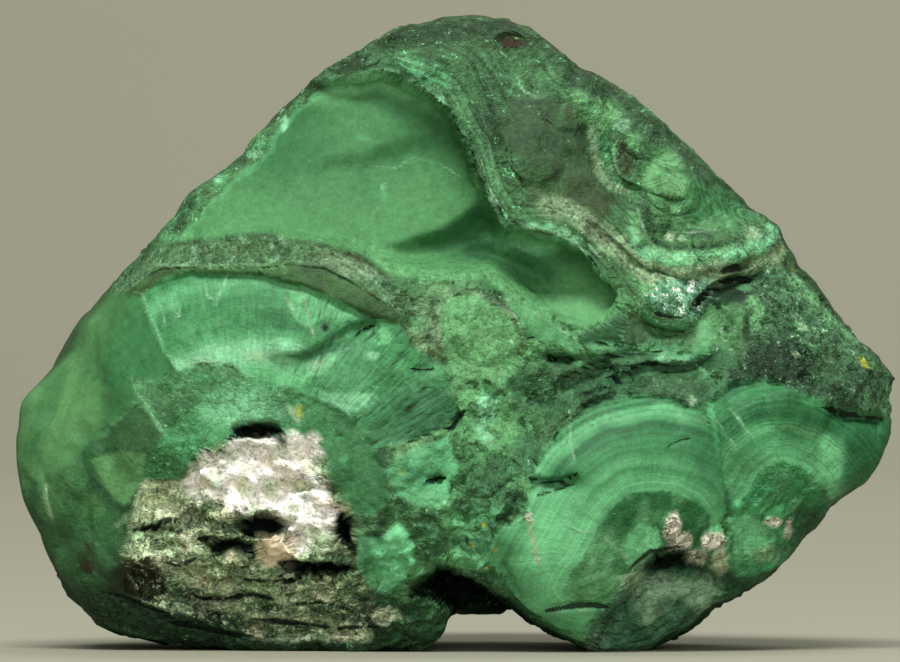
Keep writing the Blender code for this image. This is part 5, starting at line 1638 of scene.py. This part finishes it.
# How far the chips' edges are bent, in millimetres, and the squared distance at which a line is full
CHIP_BEND = 2.4
LINE_START = 0.014


def malachite_material():
    """Colour from the painted points, with growth, grains, chips, pale lines and painted glints added, and
    furrows, pits and cracks darkened: painted shade, with dirt in the furrows and pits.
    """
    made = Nodes("malachite_stone")
    tint = made.attribute("tint").outputs["Color"]
    fleck = made.attribute("fleck").outputs["Color"]
    flecked, creviced, grain, ringing, fibrous, faceted, gloss = [
        made.attribute(name).outputs["Fac"] for name in LOOKS
    ]
    along, around, crack, cracked, vein, veined = [
        made.attribute(name).outputs["Fac"]
        for name in ("along", "around", "crack", "cracked", "vein", "veined")
    ]
    place = made.add("ShaderNodeTexCoord").outputs["Object"]

    wander = made.noise(place, WANDER_CELLS, 2)
    wandered = made.plus(along, made.times(wander, 0.6))
    bands = made.plus(made.line_noise(wandered, 1.1, 2), made.line_noise(wandered, 3.6, 1))
    bands = made.stretch(bands, 0.75, 1.25, -0.2, 0.2)
    pale_lines = made.stretch(made.line_noise(wandered, 2.7, 0), 0.3, 0.38, 0.28, 0)
    dark_lines = made.stretch(made.line_noise(wandered, 2.0, 0), 0.62, 0.7, 0, -0.26)
    bands = made.plus(bands, made.plus(pale_lines, dark_lines))
    row = made.minus(made.math("FRACT", made.times(along, 0.62)), 0.5)
    rows = made.stretch(made.math("ABSOLUTE", row), 0.05, 0.11, 1, 0)
    dots = made.stretch(made.line_noise(around, 2.4, 0), 0.56, 0.66, 0, -0.3)
    bands = made.plus(bands, made.times(rows, dots))
    streaks = made.add("ShaderNodeCombineXYZ", {"X": around, "Y": made.times(along, 0.12)})
    fibres = made.stretch(made.noise(streaks.outputs[0], 2.6, 3, 0.65), 0.3, 0.7, -0.24, 0.24)
    dark_fibres = made.stretch(made.noise(streaks.outputs[0], 1.5, 2, 0.6), 0.33, 0.43, -0.45, 0)
    dark_fibres = made.times(dark_fibres, made.stretch(fibrous, 0.7, 1.2, 0, 1))
    growth = made.plus(made.times(bands, ringing), made.times(fibres, fibrous))
    growth = made.plus(growth, dark_fibres)

    speck = made.noise(place, SPECK_CELLS, 2, 0.7)
    specks = made.stretch(speck, 0.3, 0.7, -0.45, 0.5)
    grains = made.add("ShaderNodeTexVoronoi", {"Vector": place})
    grains.inputs["Scale"].default_value = GRAIN_CELLS
    hue = made.add("ShaderNodeSeparateColor", {0: grains.outputs["Color"]}).outputs[0]
    facets = made.stretch(hue, 0, 1, -0.45, 0.5)
    grit = made.times(made.plus(specks, facets), grain)
    clumps = made.noise(place, CLUMP_CELLS, 4, 0.65)
    cloud = made.stretch(clumps, 0.3, 0.7, -0.14, 0.14)
    bent = made.add("ShaderNodeTexNoise", {"Vector": place})
    bent.inputs["Scale"].default_value = BEND_CELLS
    bent.inputs["Detail"].default_value = 3
    bent = made.vector("MULTIPLY", bent.outputs["Color"], (CHIP_BEND * MM,) * 3)
    bent = made.vector("ADD", place, bent)
    large_height, large_tone = made.chips(bent, LARGE_CHIP_CELLS)
    small_height, small_tone = made.chips(bent, SMALL_CHIP_CELLS)
    large_tone = made.stretch(large_tone, 0, 1, -0.24, 0.24)
    tones = made.plus(large_tone, made.stretch(small_tone, 0, 1, -0.16, 0.16))
    cloud = made.plus(cloud, made.times(tones, faceted))
    shade = made.plus(made.plus(made.plus(growth, grit), cloud), 1.0)
    shade = made.math("MAXIMUM", shade, 0.12)

    flat_place = made.vector("MULTIPLY", place, (0.75, 1, 1.2))
    folds = made.noise(flat_place, FOLD_CELLS, 3, 0.6)
    fold_lines = made.math("ABSOLUTE", made.minus(folds, 0.5))
    furrow = made.stretch(fold_lines, 0.0, 0.045, 1, 0)
    pits = made.stretch(made.noise(flat_place, PIT_CELLS, 2, 0.6), 0.56, 0.66, 0, 1)
    deep = made.times(made.math("MAXIMUM", made.times(furrow, 0.8), pits), creviced)

    jitter = made.times(made.minus(clumps, 0.5), 0.5)

    def drawn_line(square, width, softness):
        """How much of a drawn line is here, from its squared distance and its half width."""
        off = made.math("SQRT", made.math("MAXIMUM", made.minus(square, LINE_START), 0.0))
        off = made.math("ABSOLUTE", made.plus(off, jitter))
        mark = made.stretch(made.minus(width, off), -0.06, softness, 0, 1)
        return made.times(mark, made.stretch(width, 0, 0.04, 0, 1))

    crack_mark = drawn_line(crack, cracked, 0.1)
    vein_mark = drawn_line(vein, veined, 0.08)
    vein_mark = made.times(vein_mark, made.stretch(speck, 0.35, 0.6, 0.1, 0.75))
    vein_mark = made.times(vein_mark, made.stretch(folds, 0.4, 0.58, 0.15, 1))

    chosen = made.plus(made.times(clumps, 0.65), made.times(speck, 0.35))
    limit = made.stretch(flecked, 0, 1, 0.66, 0.34)
    fleck_mark = made.stretch(made.minus(chosen, limit), -0.012, 0.03, 0, 1)
    fleck_mark = made.times(fleck_mark, made.stretch(flecked, 0, 0.05, 0, 0.85))

    coloured = made.mixed(fleck_mark, tint, fleck)
    scaled = made.add("ShaderNodeVectorMath", {0: coloured}, operation="SCALE")
    made.tree.links.new(shade, scaled.inputs["Scale"])
    # Painted glints: pale specks on the grains
    glint = made.times(made.stretch(speck, 0.64, 0.72, 0, 0.6), grain)
    colour = made.mixed(glint, scaled.outputs[0], "rim_light")
    # Painted shade and dirt in the furrows and pits
    colour = made.mixed(made.times(deep, 0.85), colour, "dark")
    colour = made.mixed(vein_mark, colour, "vein")
    # Painted shade in the cracks
    colour = made.mixed(made.times(crack_mark, 0.92), colour, "dark")
    made.tree.links.new(colour, made.shader.inputs["Base Color"])

    roughness = made.minus(0.85, made.times(gloss, 0.5))
    roughness = made.plus(roughness, made.times(specks, 0.1))
    made.tree.links.new(roughness, made.shader.inputs["Roughness"])
    made.shader.inputs["Specular IOR Level"].default_value = 0.2

    grain_height = made.times(made.minus(speck, grains.outputs["Distance"]), grain)
    fine = made.plus(made.times(grain_height, 0.16), made.times(growth, 0.05))
    fine = made.plus(fine, made.times(clumps, made.times(creviced, 0.5)))
    fine = made.minus(fine, made.times(deep, 0.35))
    fine = made.minus(fine, made.times(crack_mark, 0.4))
    fine = made.plus(fine, made.times(vein_mark, 0.08))
    chipped = made.times(made.plus(large_height, small_height), 0.9 / MM)
    fine = made.plus(fine, made.times(chipped, faceted))
    bump = made.add("ShaderNodeBump", {"Height": fine}, Strength=1.0, Distance=MM)
    made.tree.links.new(bump.outputs[0], made.shader.inputs["Normal"])
    return made.material


def plain_material(name, colour, roughness):
    made = Nodes(name)
    made.shader.inputs["Base Color"].default_value = (*colour, 1)
    made.shader.inputs["Roughness"].default_value = roughness
    return made.material


def put(name, data):
    """A new object in the scene."""
    made = bpy.data.objects.new(name, data)
    bpy.context.scene.collection.objects.link(made)
    return made


def blank_ball():
    """A ball of radius 1 from an evenly divided cube, as a mesh."""
    ball = bmesh.new()
    bmesh.ops.create_cube(ball, size=2)
    bmesh.ops.subdivide_edges(ball, edges=ball.edges[:], cuts=BLANK_CUTS, use_grid_fill=True)
    mesh = bpy.data.meshes.new("stone_surface")
    ball.to_mesh(mesh)
    ball.free()
    return mesh


def places_of(mesh):
    values = np.empty(len(mesh.vertices) * 3)
    mesh.vertices.foreach_get("co", values)
    return values.reshape(-1, 3)


def normals_of(mesh, points):
    mesh.vertices.foreach_set("co", points.ravel())
    mesh.update()
    values = np.empty(len(mesh.vertices) * 3)
    mesh.vertex_normals.foreach_get("vector", values)
    return values.reshape(-1, 3)


def store(mesh, name, values, kind="FLOAT"):
    layer = mesh.attributes.new(name, kind, "POINT")
    if kind == "FLOAT_COLOR":
        values = np.column_stack([values, np.ones(len(values))])
        layer.data.foreach_set("color", values.astype(np.float32).ravel())
    else:
        layer.data.foreach_set("value", values.astype(np.float32))


def stone():
    """The whole stone as one closed mesh, painted, and in the place of its solid."""
    mesh = blank_ball()
    ball = np.tan(places_of(mesh) * math.pi / 4)
    ball /= np.linalg.norm(ball, axis=1)[:, None]
    points, front, out, fullness = stone_form(ball)
    normals = normals_of(mesh, points)
    points += normals * rough_skin(points, front, out, fullness)[:, None]
    along, around = rings(points, front)
    normals = normals_of(mesh, points)
    points += normals * fine_relief(points, front, out, along, around)[:, None]

    look = painted(points, front, along, out)
    store(mesh, "tint", look.colour, "FLOAT_COLOR")
    store(mesh, "fleck", look.fleck, "FLOAT_COLOR")
    for name, values in look.looks.items():
        store(mesh, name, values)
    store(mesh, "along", along)
    store(mesh, "around", around)
    lines = {"vein": VEINS, "crack": [(line, half) for line, half, _ in SEAMS]}
    for name, drawn in lines.items():
        square, width = np.ones(len(points)), np.zeros(len(points))
        square[front], width[front] = lines_near(points[front], drawn)
        store(mesh, name, square)
        store(mesh, name + "ed", width)

    points[:, 2] = np.maximum(points[:, 2] - WORN_OFF, 0)
    middle = (points.min(axis=0) + points.max(axis=0)) / 2
    low, high = np.array(cad_box)
    cad_middle = (low + high) / 2 / MM
    points[:, 0] += cad_middle[0] - middle[0]
    points[:, 1] += cad_middle[1] - middle[1]
    mesh.vertices.foreach_set("co", (points * MM).ravel())
    mesh.update()
    mesh.shade_smooth()
    mesh.materials.append(malachite_material())
    made = put("malachite_stone", mesh)
    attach(made, "root")
    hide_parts("malachite")
    return made


# The stage: a pale round floor that curves up into a wall on every side, lamps and the camera

SWEEP_RADIUS = 2.4
SWEEP_CURVE = 0.9
SWEEP_HEIGHT = 2.6
SWEEP_STEPS = 12
SWEEP_TURNS = 96
SWEEP_COLOUR = (0.272, 0.268, 0.2)
STONE_MIDDLE = (0, 0, 0.036)


def sweep():
    profile = [(0.0, 0.0), (SWEEP_RADIUS - SWEEP_CURVE, 0.0)]
    for step in range(1, SWEEP_STEPS + 1):
        angle = math.pi / 2 * step / SWEEP_STEPS
        out, up = SWEEP_CURVE * math.sin(angle), SWEEP_CURVE * (1 - math.cos(angle))
        profile.append((SWEEP_RADIUS - SWEEP_CURVE + out, up))
    profile.append((SWEEP_RADIUS, SWEEP_HEIGHT))
    mesh = bpy.data.meshes.new("sweep")
    mesh.from_pydata([(x, 0, z) for x, z in profile], [(i, i + 1) for i in range(len(profile) - 1)], [])
    made = put("sweep", mesh)
    screw = made.modifiers.new("turned", "SCREW")
    screw.steps = screw.render_steps = SWEEP_TURNS
    screw.use_merge_vertices = True
    screw.merge_threshold = 0.0001
    screw.use_smooth_shade = True
    mesh.materials.append(plain_material("pale_floor", SWEEP_COLOUR, 0.9))


def lamp(name, place, size, power, aim=STONE_MIDDLE):
    light = bpy.data.lights.new(name, "AREA")
    light.shape = "RECTANGLE"
    light.size, light.size_y = size
    light.energy = power
    made = put(name, light)
    made.location = place
    made.rotation_euler = direction(place, aim)


def direction(place, aim):
    """The turn that makes something at place look at aim."""
    return (Vector(aim) - Vector(place)).to_track_quat("-Z", "Y").to_euler()


def light_scene():
    lamp("key", (-0.1, -0.7, 1.1), (0.9, 0.3), 21.8)
    lamp("fill", (0.1, -1.1, 0.3), (0.9, 0.6), 4.9)
    lamp("wall_wash", (0.6, 0.9, 1.9), (1.2, 1.2), 40, aim=(0.5, 2.4, 0.5))
    world = bpy.data.worlds.new("room")
    world.use_nodes = True
    world.node_tree.nodes["Background"].inputs["Color"].default_value = (0.9, 0.93, 0.9, 1)
    world.node_tree.nodes["Background"].inputs["Strength"].default_value = 0.43
    bpy.context.scene.world = world
    bpy.context.scene.view_settings.view_transform = "Standard"


# The photograph's frame, in its pixels, and where the face's zero point is in it
PICTURE = (900, 662)
PIXELS_PER_MM = 8.68
ZERO_PIXEL = (456, 655)
CAMERA_DISTANCE = 1.2
WIDEST_DEPTH = 20
SENSOR = 36.0


def camera():
    """A long lens level with the stone, so that the face fills the frame as in the photograph."""
    width = PICTURE[0] / PIXELS_PER_MM * MM
    x = (PICTURE[0] / 2 - ZERO_PIXEL[0]) / PIXELS_PER_MM * MM
    z = ((ZERO_PIXEL[1] - PICTURE[1] / 2) / PIXELS_PER_MM - WORN_OFF) * MM
    widest = (-DEPTH / 2 + WIDEST_DEPTH) * MM
    lens = bpy.data.cameras.new("camera")
    lens.sensor_width = SENSOR
    lens.lens = SENSOR * CAMERA_DISTANCE / width
    made = put("camera", lens)
    made.location = (x, widest - CAMERA_DISTANCE, z)
    made.rotation_euler = (math.pi / 2, 0, 0)
    bpy.context.scene.camera = made


camera()
stone()
sweep()
light_scene()
